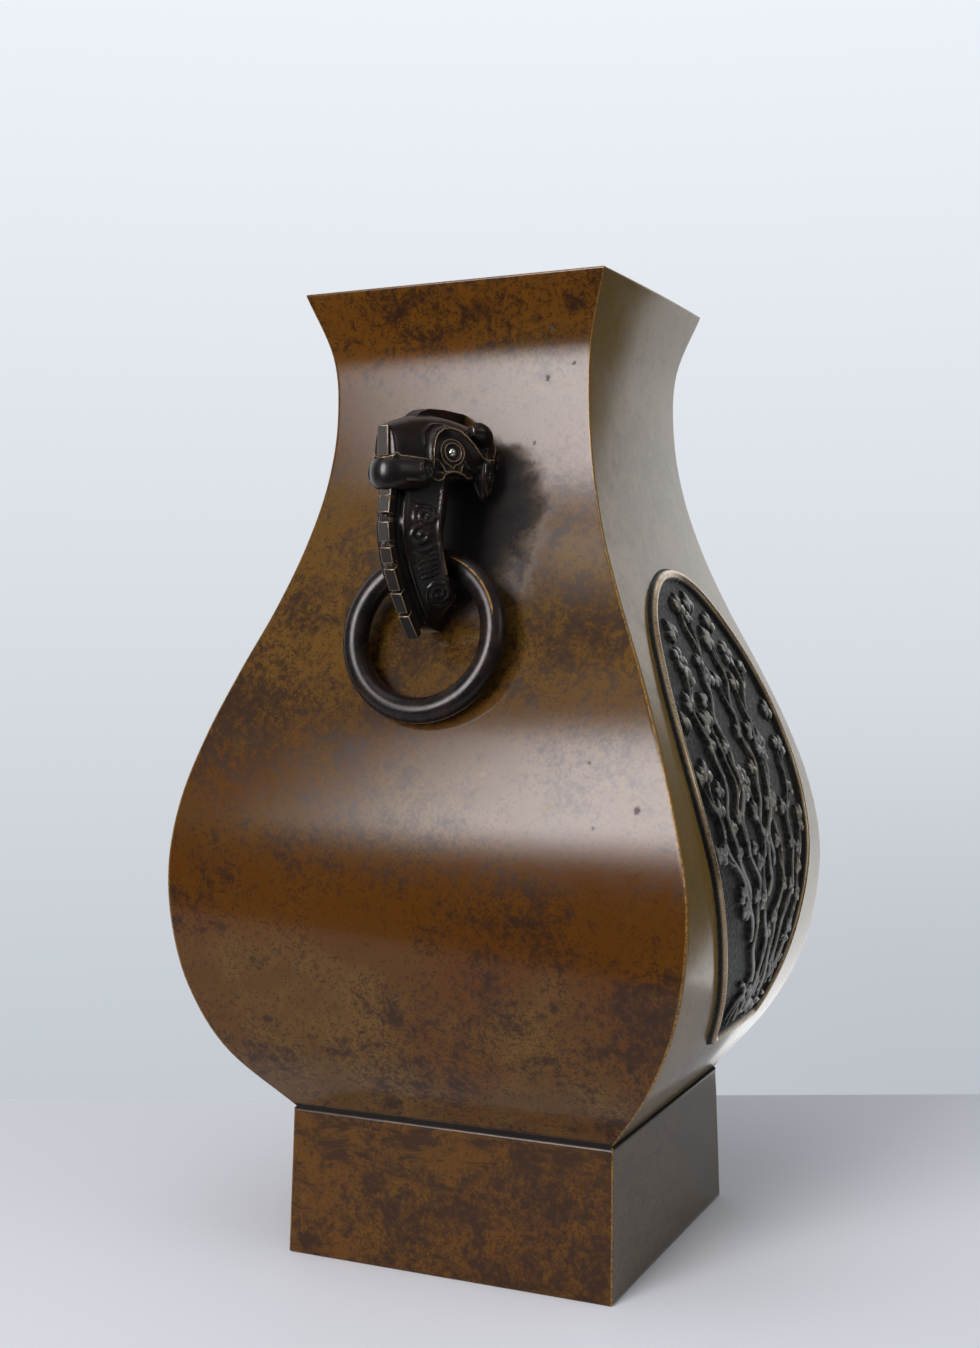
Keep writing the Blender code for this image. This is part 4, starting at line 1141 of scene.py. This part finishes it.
class Painter:
    # short calls for the nodes of one material, or of the world
    def __init__(self, name, tree=None):
        if tree:
            self.tree = tree
            return
        self.material = bpy.data.materials.new(name)
        self.material.use_nodes = True
        self.tree = self.material.node_tree
        self.shader = self.tree.nodes["Principled BSDF"]
        self.place = self.tree.nodes.new("ShaderNodeTexCoord").outputs["Object"]

    def set(self, **values):
        for key, value in values.items():
            self.shader.inputs[key.replace("_", " ")].default_value = value

    def link(self, source, target):
        self.tree.links.new(source, target)

    def feed(self, socket, value):
        if hasattr(value, "is_output"):
            self.link(value, socket)
        else:
            socket.default_value = value

    def noise(self, scale, detail=3, roughness=0.55, distortion=0.0, stretch=None):
        node = self.tree.nodes.new("ShaderNodeTexNoise")
        node.inputs["Scale"].default_value = scale
        node.inputs["Detail"].default_value = detail
        node.inputs["Roughness"].default_value = roughness
        node.inputs["Distortion"].default_value = distortion
        source = self.place
        if stretch:
            mapping = self.tree.nodes.new("ShaderNodeMapping")
            mapping.inputs["Scale"].default_value = stretch
            self.link(source, mapping.inputs["Vector"])
            source = mapping.outputs["Vector"]
        self.link(source, node.inputs["Vector"])
        return node.outputs["Fac"]

    def grains(self, scale):
        node = self.tree.nodes.new("ShaderNodeTexVoronoi")
        node.inputs["Scale"].default_value = scale
        self.link(self.place, node.inputs["Vector"])
        return node.outputs["Distance"]

    def sums(self, operation, a, b=0.0):
        node = self.tree.nodes.new("ShaderNodeMath")
        node.operation = operation
        self.feed(node.inputs[0], a)
        self.feed(node.inputs[1], b)
        return node.outputs["Value"]

    def ramp(self, share, stops):
        node = self.tree.nodes.new("ShaderNodeValToRGB")
        points = node.color_ramp.elements
        while len(points) < len(stops):
            points.new(0.5)
        for point, (place, colour) in zip(points, stops):
            point.position = place
            point.color = (*colour, 1)
        self.link(share, node.inputs[0])
        return node.outputs["Color"]

    def between(self, value, low, high, start=0.0, end=1.0, linear=False):
        # 0 below low, 1 above high, smooth in between
        node = self.tree.nodes.new("ShaderNodeMapRange")
        node.interpolation_type = "LINEAR" if linear else "SMOOTHSTEP"
        self.feed(node.inputs["Value"], value)
        for key, number in (("From Min", low), ("From Max", high), ("To Min", start), ("To Max", end)):
            node.inputs[key].default_value = number
        return node.outputs["Result"]

    def mix(self, share, a, b):
        node = self.tree.nodes.new("ShaderNodeMix")
        node.data_type = "RGBA"
        self.feed(node.inputs[0], share)
        self.feed(node.inputs[6], (*a, 1) if isinstance(a, tuple) else a)
        self.feed(node.inputs[7], (*b, 1) if isinstance(b, tuple) else b)
        return node.outputs[2]

    def axis(self, name):
        node = self.tree.nodes.new("ShaderNodeSeparateXYZ")
        self.link(self.place, node.inputs[0])
        return node.outputs[name]

    def distance(self, vector, point):
        node = self.tree.nodes.new("ShaderNodeVectorMath")
        node.operation = "DISTANCE"
        self.link(vector, node.inputs[0])
        node.inputs[1].default_value = point
        return node.outputs["Value"]

    def attribute(self, name):
        node = self.tree.nodes.new("ShaderNodeAttribute")
        node.attribute_name = name
        return node.outputs["Fac"]

    def bump(self, height, strength, distance):
        node = self.tree.nodes.new("ShaderNodeBump")
        node.inputs["Strength"].default_value = strength
        node.inputs["Distance"].default_value = distance
        self.link(height, node.inputs["Height"])
        self.link(node.outputs["Normal"], self.shader.inputs["Normal"])


bodyFinish = {
    "ochre": (0.106, 0.053, 0.0115), "tan": (0.074, 0.0335, 0.0070), "orange": (0.092, 0.0325, 0.0042),
    "umber": (0.046, 0.0190, 0.0065), "purple": (0.0225, 0.0105, 0.0053),
    "litOlive": (0.195, 0.120, 0.033), "footSide": (0.092, 0.062, 0.030),
    # the dark colour round the handles is soot with painted shade, and the near-black one above the foot is
    # painted shade in the crease
    "gold": (0.27, 0.155, 0.045), "sootAndShade": (0.008, 0.0085, 0.011), "creaseShade": (0.004, 0.004, 0.0045),
    "roughness": 0.115,
    "bands": (  # lowest and highest level, softness, colour and strength
        (0.222, 0.300, 0.020, (0.135, 0.071, 0.0135), 0.60),
        (0.112, 0.160, 0.016, (0.078, 0.0245, 0.0026), 0.75),
        (0.352, 0.400, 0.008, (0.135, 0.052, 0.0070), 0.55),
    ),
    "footOrange": (0.098, 0.0400, 0.0050),
    "footTop": (0.0560, 0.0575),  # between these levels the foot's looks end
    # soot and painted shade round the handles: how far right, how high, half-width and half-height
    "sootShadeAside": 0.010, "sootShadeLevel": 0.288, "sootShadeHalfWidth": 0.038, "sootShadeHalfHeight": 0.048,
    # painted shade in the crease above the foot: where it starts and where it is darkest
    "creaseShadeReach": (2.4 * mm, 0.5 * mm),
    "marks": (  # small dents and scratches: place across and up, radius in mm, and light or dark
        (0.0277, 0.1950, 1.3, True), (0.0544, 0.1848, 2.2, True), (0.0872, 0.1847, 1.6, False),
        (0.0713, 0.1782, 0.7, False), (-0.0013, 0.1970, 0.7, False), (0.0680, 0.2004, 0.8, False),
        (0.0370, 0.3419, 1.2, False), (0.0451, 0.3391, 1.5, True), (0.0476, 0.3467, 0.8, False),
        (0.0399, 0.3601, 0.9, False), (0.0318, 0.3175, 0.9, False),
    ),
    "markLight": (0.20, 0.135, 0.075), "markDark": (0.016, 0.0105, 0.0085),
}


def bodyMaterial():
    paint = Painter("ochreBronze")
    look = bodyFinish
    height = paint.axis("Z")
    zones = paint.noise(9, 3, 0.55, 0.3)
    cloud = paint.noise(30, 5, 0.62, 0.3)
    blotch = paint.noise(120, 7, 0.74, 0.4)
    speck = paint.noise(380, 5, 0.74, 0.3)
    fleck = paint.noise(900, 4, 0.68)
    grit = paint.noise(1500, 2, 0.5)
    sideFace = paint.attribute("sideFace")
    # ochre, tan and orange in soft clouds
    colour = paint.mix(paint.between(cloud, 0.38, 0.62), look["ochre"], look["tan"])
    colour = paint.mix(paint.between(zones, 0.42, 0.62, 0, 0.9), colour, look["orange"])
    # yellower at the shoulder, orange round the belly, under the lip and on the foot
    level = paint.sums("ADD", height, paint.between(zones, 0.3, 0.7, -0.022, 0.022))
    for low, high, soft, tint, strength in look["bands"]:
        band = paint.sums("MULTIPLY", paint.between(level, low - soft, low + soft, 0, strength),
                          paint.between(level, high + soft, high - soft))
        colour = paint.mix(band, colour, tint)
    footLow, footHigh = look["footTop"]
    onFoot = paint.between(height, footHigh, footLow)
    colour = paint.mix(paint.sums("MULTIPLY", onFoot, 0.7), colour, look["footOrange"])
    # smoky umber veils, then purple-brown blotches and specks that crowd together in some places
    crowd = paint.sums("ADD", paint.between(zones, 0.36, 0.64, -0.09, 0.065),
                       paint.between(cloud, 0.34, 0.66, 0.075, -0.075))
    crowd = paint.sums("ADD", crowd, paint.between(level, 0.345, 0.365, 0, -0.065))  # few below the lip
    crowded = paint.sums("ADD", blotch, crowd)
    veil = paint.between(crowded, 0.43, 0.64, 0, 0.70)
    dark = paint.between(paint.sums("ADD", speck, crowded), 0.97, 1.16, 0, 0.84)
    dots = paint.sums("ADD", fleck, paint.sums("MULTIPLY", paint.sums("ADD", speck, crowd), 0.6))
    dark = paint.sums("MAXIMUM", dark, paint.between(dots, 0.79, 0.89, 0, 0.70))
    # brushed streaks on the foot, closer together at its top
    streak = paint.noise(85, 7, 0.72, 0.6, stretch=(0.6, 0.6, 1.5))
    streak = paint.sums("ADD", streak, paint.between(height, 0.015, 0.055, -0.05, 0.05))
    streak = paint.sums("MULTIPLY", paint.between(streak, 0.50, 0.62, 0, 0.86), onFoot)
    dark = paint.sums("MAXIMUM", dark, streak)
    # the relief faces are olive, painted lighter for the light they catch, with far fewer blotches
    plain = paint.between(sideFace, 0, 1, 1, 0.25)
    side = paint.mix(paint.between(height, footLow, footHigh), look["footSide"], look["litOlive"])
    colour = paint.mix(sideFace, colour, side)
    colour = paint.mix(paint.sums("MULTIPLY", veil, plain), colour, look["umber"])
    colour = paint.mix(paint.sums("MULTIPLY", dark, plain), colour, look["purple"])
    # small dents and scratches, the same on the face opposite
    facing = paint.between(paint.axis("Y"), -0.01, 0.01, 1, -1)
    across = paint.sums("MULTIPLY", paint.axis("X"), facing)
    flat = paint.tree.nodes.new("ShaderNodeCombineXYZ")
    paint.link(across, flat.inputs["X"])
    paint.link(height, flat.inputs["Z"])
    frayed = paint.between(fleck, 0.3, 0.7, -0.5 * mm, 0.5 * mm)
    pitted = 0.0
    for x, z, radius, light in look["marks"]:
        away = paint.sums("ADD", paint.distance(flat.outputs[0], (x, 0, z)), frayed)
        mark = paint.between(away, 1.15 * radius * mm, 0.55 * radius * mm, 0, 0.4 if light else 0.75)
        mark = paint.sums("MULTIPLY", mark, paint.between(sideFace, 0.5, 0.0))
        colour = paint.mix(mark, colour, look["markLight" if light else "markDark"])
        pitted = paint.sums("ADD", pitted, mark)
    # painted shade and soot round the handles, darker a little to their right, where their shadow falls
    aside = paint.sums("MULTIPLY", facing, look["sootShadeAside"])
    aside = paint.sums("DIVIDE", paint.sums("SUBTRACT", paint.axis("X"), aside), look["sootShadeHalfWidth"])
    rise = paint.sums("DIVIDE", paint.sums("SUBTRACT", height, look["sootShadeLevel"]), look["sootShadeHalfHeight"])
    away = paint.sums("ADD", paint.sums("MULTIPLY", aside, aside), paint.sums("MULTIPLY", rise, rise))
    ragged = paint.sums("MULTIPLY", paint.sums("SUBTRACT", cloud, 0.5), 1.2)
    away = paint.sums("ADD", paint.sums("SQRT", away), ragged)
    sootAndShade = paint.between(away, 1.10, 0.45, 0, 0.93)
    colour = paint.mix(sootAndShade, colour, look["sootAndShade"])
    # painted shade in the crease above the foot, and thin worn edges
    creaseShade = paint.sums("ABSOLUTE", paint.sums("SUBTRACT", height, vesselShape["footHeight"]))
    creaseShade = paint.between(creaseShade, *look["creaseShadeReach"], 0, 0.95)
    colour = paint.mix(creaseShade, colour, look["creaseShade"])
    # worn corners, and along the lip wear with a painted highlight
    wearAndHighlight = paint.sums("MULTIPLY", paint.between(paint.attribute("wearAndHighlight"), 0.62, 0.98),
                      paint.between(fleck, 0.38, 0.58, 0.15, 0.9))
    colour = paint.mix(wearAndHighlight, colour, look["gold"])
    paint.link(colour, paint.shader.inputs["Base Color"])
    paint.link(paint.between(wearAndHighlight, 0, 1, 0, 0.35), paint.shader.inputs["Metallic"])
    rough = paint.sums("ADD", paint.between(dark, 0, 1, look["roughness"], look["roughness"] + 0.05),
                       paint.between(blotch, 0.3, 0.7, -0.02, 0.03))
    rough = paint.sums("ADD", rough, paint.between(pitted, 0, 1, 0, 0.35))
    rough = paint.sums("ADD", rough, paint.between(sootAndShade, 0.2, 0.93, 0, 0.75))
    rough = paint.sums("ADD", rough, paint.between(creaseShade, 0.3, 0.95, 0, 0.85))
    rough = paint.sums("ADD", rough, paint.between(wearAndHighlight, 0, 1, 0, 0.2))
    paint.link(rough, paint.shader.inputs["Roughness"])
    paint.set(IOR=1.30)
    relief = paint.sums("ADD", paint.sums("MULTIPLY", speck, 0.6), paint.sums("MULTIPLY", grit, 0.25))
    paint.bump(relief, 0.08, 0.25 * mm)
    return paint.material


reliefLook = {
    "ground": (0.0035, 0.0038, 0.0034), "sand": (0.040, 0.040, 0.034),
    "wornLitGrey": (0.37, 0.37, 0.35), "wornLitTan": (0.42, 0.36, 0.27),
    "frameFootShade": (0.010, 0.010, 0.009), "frameBrown": (0.30, 0.200, 0.105), "frameTan": (0.40, 0.310, 0.190),
}


def reliefMaterial():
    paint = Painter("reliefBronze")
    look = reliefLook
    grit = paint.noise(520, 4, 0.72)
    cloud = paint.noise(60, 4, 0.6)
    grains = paint.grains(760)
    # near-black sandy ground, plants grey and tan as rubbed wear with a painted highlight, and a brown frame
    # with painted shade along its foot
    raised = paint.attribute("raised")
    sand = paint.sums("ADD", paint.between(cloud, 0.35, 0.65, 0, 0.25),
                      paint.between(grit, 0.46, 0.62, 0, 0.75))
    ground = paint.mix(sand, look["ground"], look["sand"])
    # plants: rubbed wear with a painted highlight
    plants = paint.mix(paint.between(cloud, 0.40, 0.70), look["wornLitGrey"], look["wornLitTan"])
    colour = paint.mix(paint.between(raised, 0.42, 0.98), ground, plants)
    framed = paint.attribute("framePart")
    crest = paint.mix(paint.between(cloud, 0.35, 0.65), look["frameBrown"], look["frameTan"])
    # painted shade along both feet of the frame bead
    colour = paint.mix(paint.between(framed, 0.04, 0.16), colour, look["frameFootShade"])
    colour = paint.mix(paint.between(framed, 0.26, 0.50), colour, crest)
    paint.link(colour, paint.shader.inputs["Base Color"])
    paint.set(Metallic=0.7, Coat_Weight=0.12, Coat_Roughness=0.28, IOR=1.33)
    rough = paint.sums("ADD", paint.between(raised, 0.1, 0.8, 0.70, 0.36),
                       paint.between(framed, 0.3, 0.7, 0, -0.06))
    rough = paint.sums("ADD", rough, paint.between(grit, 0.35, 0.60, 0.08, -0.08))
    paint.link(rough, paint.shader.inputs["Roughness"])
    # the grain of the ground, less on the plants and the frame
    sandy = paint.sums("MULTIPLY", paint.between(framed, 0.05, 0.30, 1, 0.10),
                       paint.between(raised, 0.1, 0.5, 1, 0.3))
    grain = paint.sums("ADD", paint.sums("MULTIPLY", grit, 0.5), paint.sums("MULTIPLY", grains, 0.8))
    paint.bump(paint.sums("MULTIPLY", grain, sandy), 0.9, 0.45 * mm)
    return paint.material


darkLook = {
    "black": (0.0085, 0.0068, 0.0066), "brown": (0.020, 0.0120, 0.0092), "seam": (0.30, 0.16, 0.05),
    "wearAndGlint": (0.26, 0.175, 0.095), "pupil": (0.62, 0.60, 0.56), "hollow": (0.0035, 0.003, 0.003),
}


def darkMaterial(name, ringWise):
    # near-black bronze, with a casting seam on the rings, and on the handles rubbed wear with a painted
    # highlight on the ridges, painted shade in the hollows and a painted glint on the pupils
    paint = Painter(name)
    look = darkLook
    cloud = paint.noise(90, 4, 0.6, 0.5)
    fleck = paint.noise(420, 4, 0.6)
    colour = paint.mix(paint.between(cloud, 0.38, 0.64), look["black"], look["brown"])
    if ringWise:
        seam = paint.sums("MULTIPLY", paint.between(paint.attribute("offSeam"), 0.11, 0.03),
                          paint.between(fleck, 0.3, 0.5))
        colour = paint.mix(seam, colour, look["seam"])
        paint.set(Metallic=0.1, IOR=1.285)
        rough = paint.between(fleck, 0.3, 0.7, 0.20, 0.31)
    else:
        high = paint.attribute("high")
        # ridges: rubbed wear with a painted highlight
        colour = paint.mix(paint.between(high, 0.70, 0.98, 0, 0.9), colour, look["wearAndGlint"])
        # painted glint: the pupils near-white
        colour = paint.mix(paint.between(high, 0.97, 0.995, 0, 0.9), colour, look["pupil"])
        # painted shade in the handles' hollows
        colour = paint.mix(paint.between(high, 0.46, 0.25, 0, 0.8), colour, look["hollow"])
        paint.link(paint.between(high, 0.96, 1.0, 0.2, 0.85), paint.shader.inputs["Metallic"])
        paint.set(IOR=1.36)
        rough = paint.sums("SUBTRACT", paint.between(high, 0.30, 0.46, 0.62, 0.33),
                           paint.between(high, 0.48, 0.8, 0, 0.16))
    paint.link(colour, paint.shader.inputs["Base Color"])
    paint.link(rough, paint.shader.inputs["Roughness"])
    paint.bump(fleck, 0.15, 0.2 * mm)
    return paint.material


def dress(piece, material, body, node):
    piece.data.materials.clear()
    piece.data.materials.append(material)
    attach(piece, body)
    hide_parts(node)


studio = {
    "photoSize": (980, 1348),
    "focal": 1694.3,  # in the photo's pixels
    "eye": (0.7474 * 0.38, -1.6859 * 0.38, 0.6523 * 0.38),
    "heading": 24.657, "pitch": -1.555, "roll": -0.248,
    "tableBehind": 0.19, "tableAhead": 0.33, "tableSide": 0.85, "tableColour": (0.85, 0.875, 0.925),
    "sweep": (
        (0.0, (0.54, 0.575, 0.62)), (0.20, (0.60, 0.635, 0.685)), (0.48, (0.70, 0.735, 0.785)),
        (1.0, (0.86, 0.90, 0.955)),
    ),
    "room": ((0.0, (0.03, 0.03, 0.03)), (1.0, (0.30, 0.30, 0.31))),
    "roomLight": ((0.0, (0.10, 0.10, 0.10)), (1.0, (0.40, 0.41, 0.43))),
    "window": {"place": (-0.955, -3.09, 1.30), "target": (-0.955, 0, 1.30), "size": (2.21, 2.86),
               "colour": (1.0, 0.965, 0.985), "soft": (0.44, 0.12, 0.25, 0.36), "shine": 24.5, "light": 12.3},
    "lights": {  # place, target, size, brightness, colour, soft edges as shares: left, right, bottom, top
        "above": ((0.0, -0.45, 1.30), (0, -0.2, 0), (0.9, 0.9), 1.4, (0.98, 0.99, 1.0), (0.2, 0.2, 0.2, 0.2)),
        "rightFill": ((1.6, -0.1, 0.9), (0, 0, 0.25), (1.0, 1.0), 2.0, (1.0, 1.0, 1.0), (0.3, 0.3, 0.3, 0.3)),
    },
    "cardColour": (0.97, 0.985, 1),
    "cards": {  # left, right, distance behind, low, high, brightness, soft edges
        "sweepCard": (-1.10, 0.10, 0.35, -0.12, 1.15, 0.75, (0, 0, 0, 0)),
        "rightCard": (0.10, 0.465, 0.35, -0.12, 1.15, 1.50, (0, 0.28, 0, 0)),
    },
}


def makeCamera():
    data = bpy.data.cameras.new("camera")
    camera = bpy.data.objects.new("camera", data)
    scene.collection.objects.link(camera)
    data.sensor_fit = "VERTICAL"
    data.sensor_height = 36
    data.sensor_width = 36 * studio["photoSize"][0] / studio["photoSize"][1]
    data.lens = studio["focal"] / studio["photoSize"][1] * 36
    data.clip_start = 0.01
    heading, pitch, roll = (math.radians(studio[key]) for key in ("heading", "pitch", "roll"))
    level = math.cos(pitch)
    ahead = Vector((-math.sin(heading) * level, math.cos(heading) * level, math.sin(pitch)))
    right = Vector((math.cos(heading), math.sin(heading), 0))
    above = right.cross(ahead)
    rightTurned = right * math.cos(roll) + above * math.sin(roll)
    aboveTurned = above * math.cos(roll) - right * math.sin(roll)
    turn = Matrix((rightTurned, aboveTurned, -ahead)).transposed().to_4x4()
    camera.matrix_world = Matrix.Translation(studio["eye"]) @ turn
    scene.camera = camera


def plainMaterial(name, colour, roughness, ior):
    paint = Painter(name)
    paint.set(Base_Color=(*colour, 1), Roughness=roughness, IOR=ior)
    return paint.material


def levelDirections():
    # level directions away from the camera and to its right
    heading = math.radians(studio["heading"])
    ahead = Vector((-math.sin(heading), math.cos(heading), 0))
    return ahead, Vector((ahead.y, -ahead.x, 0))


def makeStage():
    # a white table whose back edge lies just behind the vessel
    ahead, side = levelDirections()
    back, front = ahead * studio["tableBehind"], -ahead * studio["tableAhead"]
    across = side * studio["tableSide"]
    deselectAll()
    bpy.ops.mesh.primitive_plane_add(size=2)
    table = bpy.context.active_object
    table.name = "table"
    corners = (front - across, front + across, back - across, back + across)
    for vert, corner in zip(table.data.vertices, corners):
        vert.co = (corner.x, corner.y, 0)
    table.data.materials.append(plainMaterial("tableWhite", studio["tableColour"], 0.08, 1.11))
    spared = bpy.data.collections.new("tableKeptDull")  # the window and cards don't shine in the table
    spared.objects.link(table)
    spared.collection_objects[0].light_linking.link_state = "EXCLUDE"
    return spared


def areaLight(name, place, target, size, radiance, colour, soft, lights=True, shines=True):
    # a bright rectangle with soft edges, which lights surfaces, shines in them, or both
    data = bpy.data.lights.new(name, "AREA")
    data.shape = "RECTANGLE"
    data.size, data.size_y = size
    data.energy = radiance * math.pi * size[0] * size[1]
    data.color = colour
    lamp = bpy.data.objects.new(name, data)
    scene.collection.objects.link(lamp)
    lamp.location = place
    lamp.rotation_euler = (Vector(target) - Vector(place)).to_track_quat("-Z", "Y").to_euler()
    lamp.visible_camera = False
    lamp.visible_diffuse = lights
    lamp.visible_glossy = shines
    data.use_nodes = True
    paint = Painter(name, data.node_tree)
    split = paint.tree.nodes.new("ShaderNodeSeparateXYZ")
    paint.link(paint.tree.nodes.new("ShaderNodeNewGeometry").outputs["Parametric"], split.inputs[0])
    left, right, bottom, top = [max(share, 0.001) for share in soft]
    across, up = split.outputs["X"], split.outputs["Y"]
    fade = paint.sums("MULTIPLY", paint.between(across, 0, left), paint.between(across, 1, 1 - right))
    fade = paint.sums("MULTIPLY", fade, paint.between(up, 0, bottom))
    fade = paint.sums("MULTIPLY", fade, paint.between(up, 1, 1 - top))
    paint.link(fade, paint.tree.nodes["Emission"].inputs["Strength"])
    return lamp


def makeWorld():
    # a pale sweep behind the table for the eye, a dim room for reflections
    world = bpy.data.worlds.new("softRoom")
    scene.world = world
    world.use_nodes = True
    paint = Painter("softRoom", world.node_tree)
    nodes, links = world.node_tree.nodes, world.node_tree.links
    toward = nodes.new("ShaderNodeTexCoord")
    split = nodes.new("ShaderNodeSeparateXYZ")
    links.new(toward.outputs["Generated"], split.inputs[0])
    rise = split.outputs["Z"]
    sweep = paint.ramp(paint.between(rise, -0.30, 0.36, linear=True), studio["sweep"])
    # a little darker low down on the right
    heading = math.radians(studio["heading"])
    rightward = paint.sums("ADD", paint.sums("MULTIPLY", split.outputs["X"], math.cos(heading)),
                           paint.sums("MULTIPLY", split.outputs["Y"], math.sin(heading)))
    shade = paint.sums("MULTIPLY", paint.between(rightward, -0.05, 0.25),
                       paint.between(rise, -0.02, -0.20, 0, 0.09))
    sweep = paint.mix(shade, sweep, (0, 0, 0))
    rays = nodes.new("ShaderNodeLightPath")
    roomRise = paint.between(rise, -0.15, 0.60)
    shine = paint.ramp(roomRise, studio["room"])
    light = paint.ramp(roomRise, studio["roomLight"])
    seen = nodes.new("ShaderNodeBackground")
    links.new(sweep, seen.inputs["Color"])
    felt = nodes["Background"]
    links.new(paint.mix(rays.outputs["Is Diffuse Ray"], shine, light), felt.inputs["Color"])
    choice = nodes.new("ShaderNodeMixShader")
    links.new(rays.outputs["Is Camera Ray"], choice.inputs[0])
    links.new(felt.outputs[0], choice.inputs[1])
    links.new(seen.outputs[0], choice.inputs[2])
    links.new(choice.outputs[0], nodes["World Output"].inputs["Surface"])


def makeLight(spared):
    # a window split into its shine and its light, softer lights, and pale cards that only shine
    makeWorld()
    ahead, side = levelDirections()
    window = studio["window"]
    where = (window["place"], window["target"], window["size"])
    finish = (window["colour"], window["soft"])
    shining = [areaLight("windowShine", *where, window["shine"], *finish, lights=False)]
    areaLight("windowLight", *where, window["light"], *finish, shines=False)
    for name, row in studio["lights"].items():
        areaLight(name, *row)
    for name, (left, right, distance, low, high, radiance, soft) in studio["cards"].items():
        centre = side * (left + right) / 2 + ahead * distance + Vector((0, 0, (low + high) / 2))
        size = (right - left, high - low)
        shining.append(areaLight(name, centre, centre - ahead, size, radiance, studio["cardColour"], soft,
                                 lights=False))
    for lamp in shining:
        lamp.light_linking.receiver_collection = spared


makeCamera()
makeLight(makeStage())

body = makeBody()
dress(body, bodyMaterial(), "vessel", "vessel")

reliefRight = makeRelief()
reliefFinish = reliefMaterial()
dress(reliefRight, reliefFinish, "vessel", "vessel")
dress(turnedCopy(reliefRight, "reliefLeft"), reliefFinish, "vessel", "vessel")

frontHandle = makeHandle()
handleFinish = darkMaterial("handleBronze", False)
dress(frontHandle, handleFinish, "vessel", "front_handle")
dress(turnedCopy(frontHandle, "backHandle"), handleFinish, "vessel", "back_handle")

frontRing = makeRing()
ringFinish = darkMaterial("ringBronze", True)
dress(frontRing, ringFinish, "front_ring", "front_ring")
dress(turnedCopy(frontRing, "backRing"), ringFinish, "back_ring", "back_ring")

scene.view_settings.view_transform = "Standard"

print("finish")
for piece in scene.objects:
    if piece.type == "MESH" and not piece.hide_render:
        print("  ", piece.name, sum(len(face.vertices) - 2 for face in piece.data.polygons), "triangles")
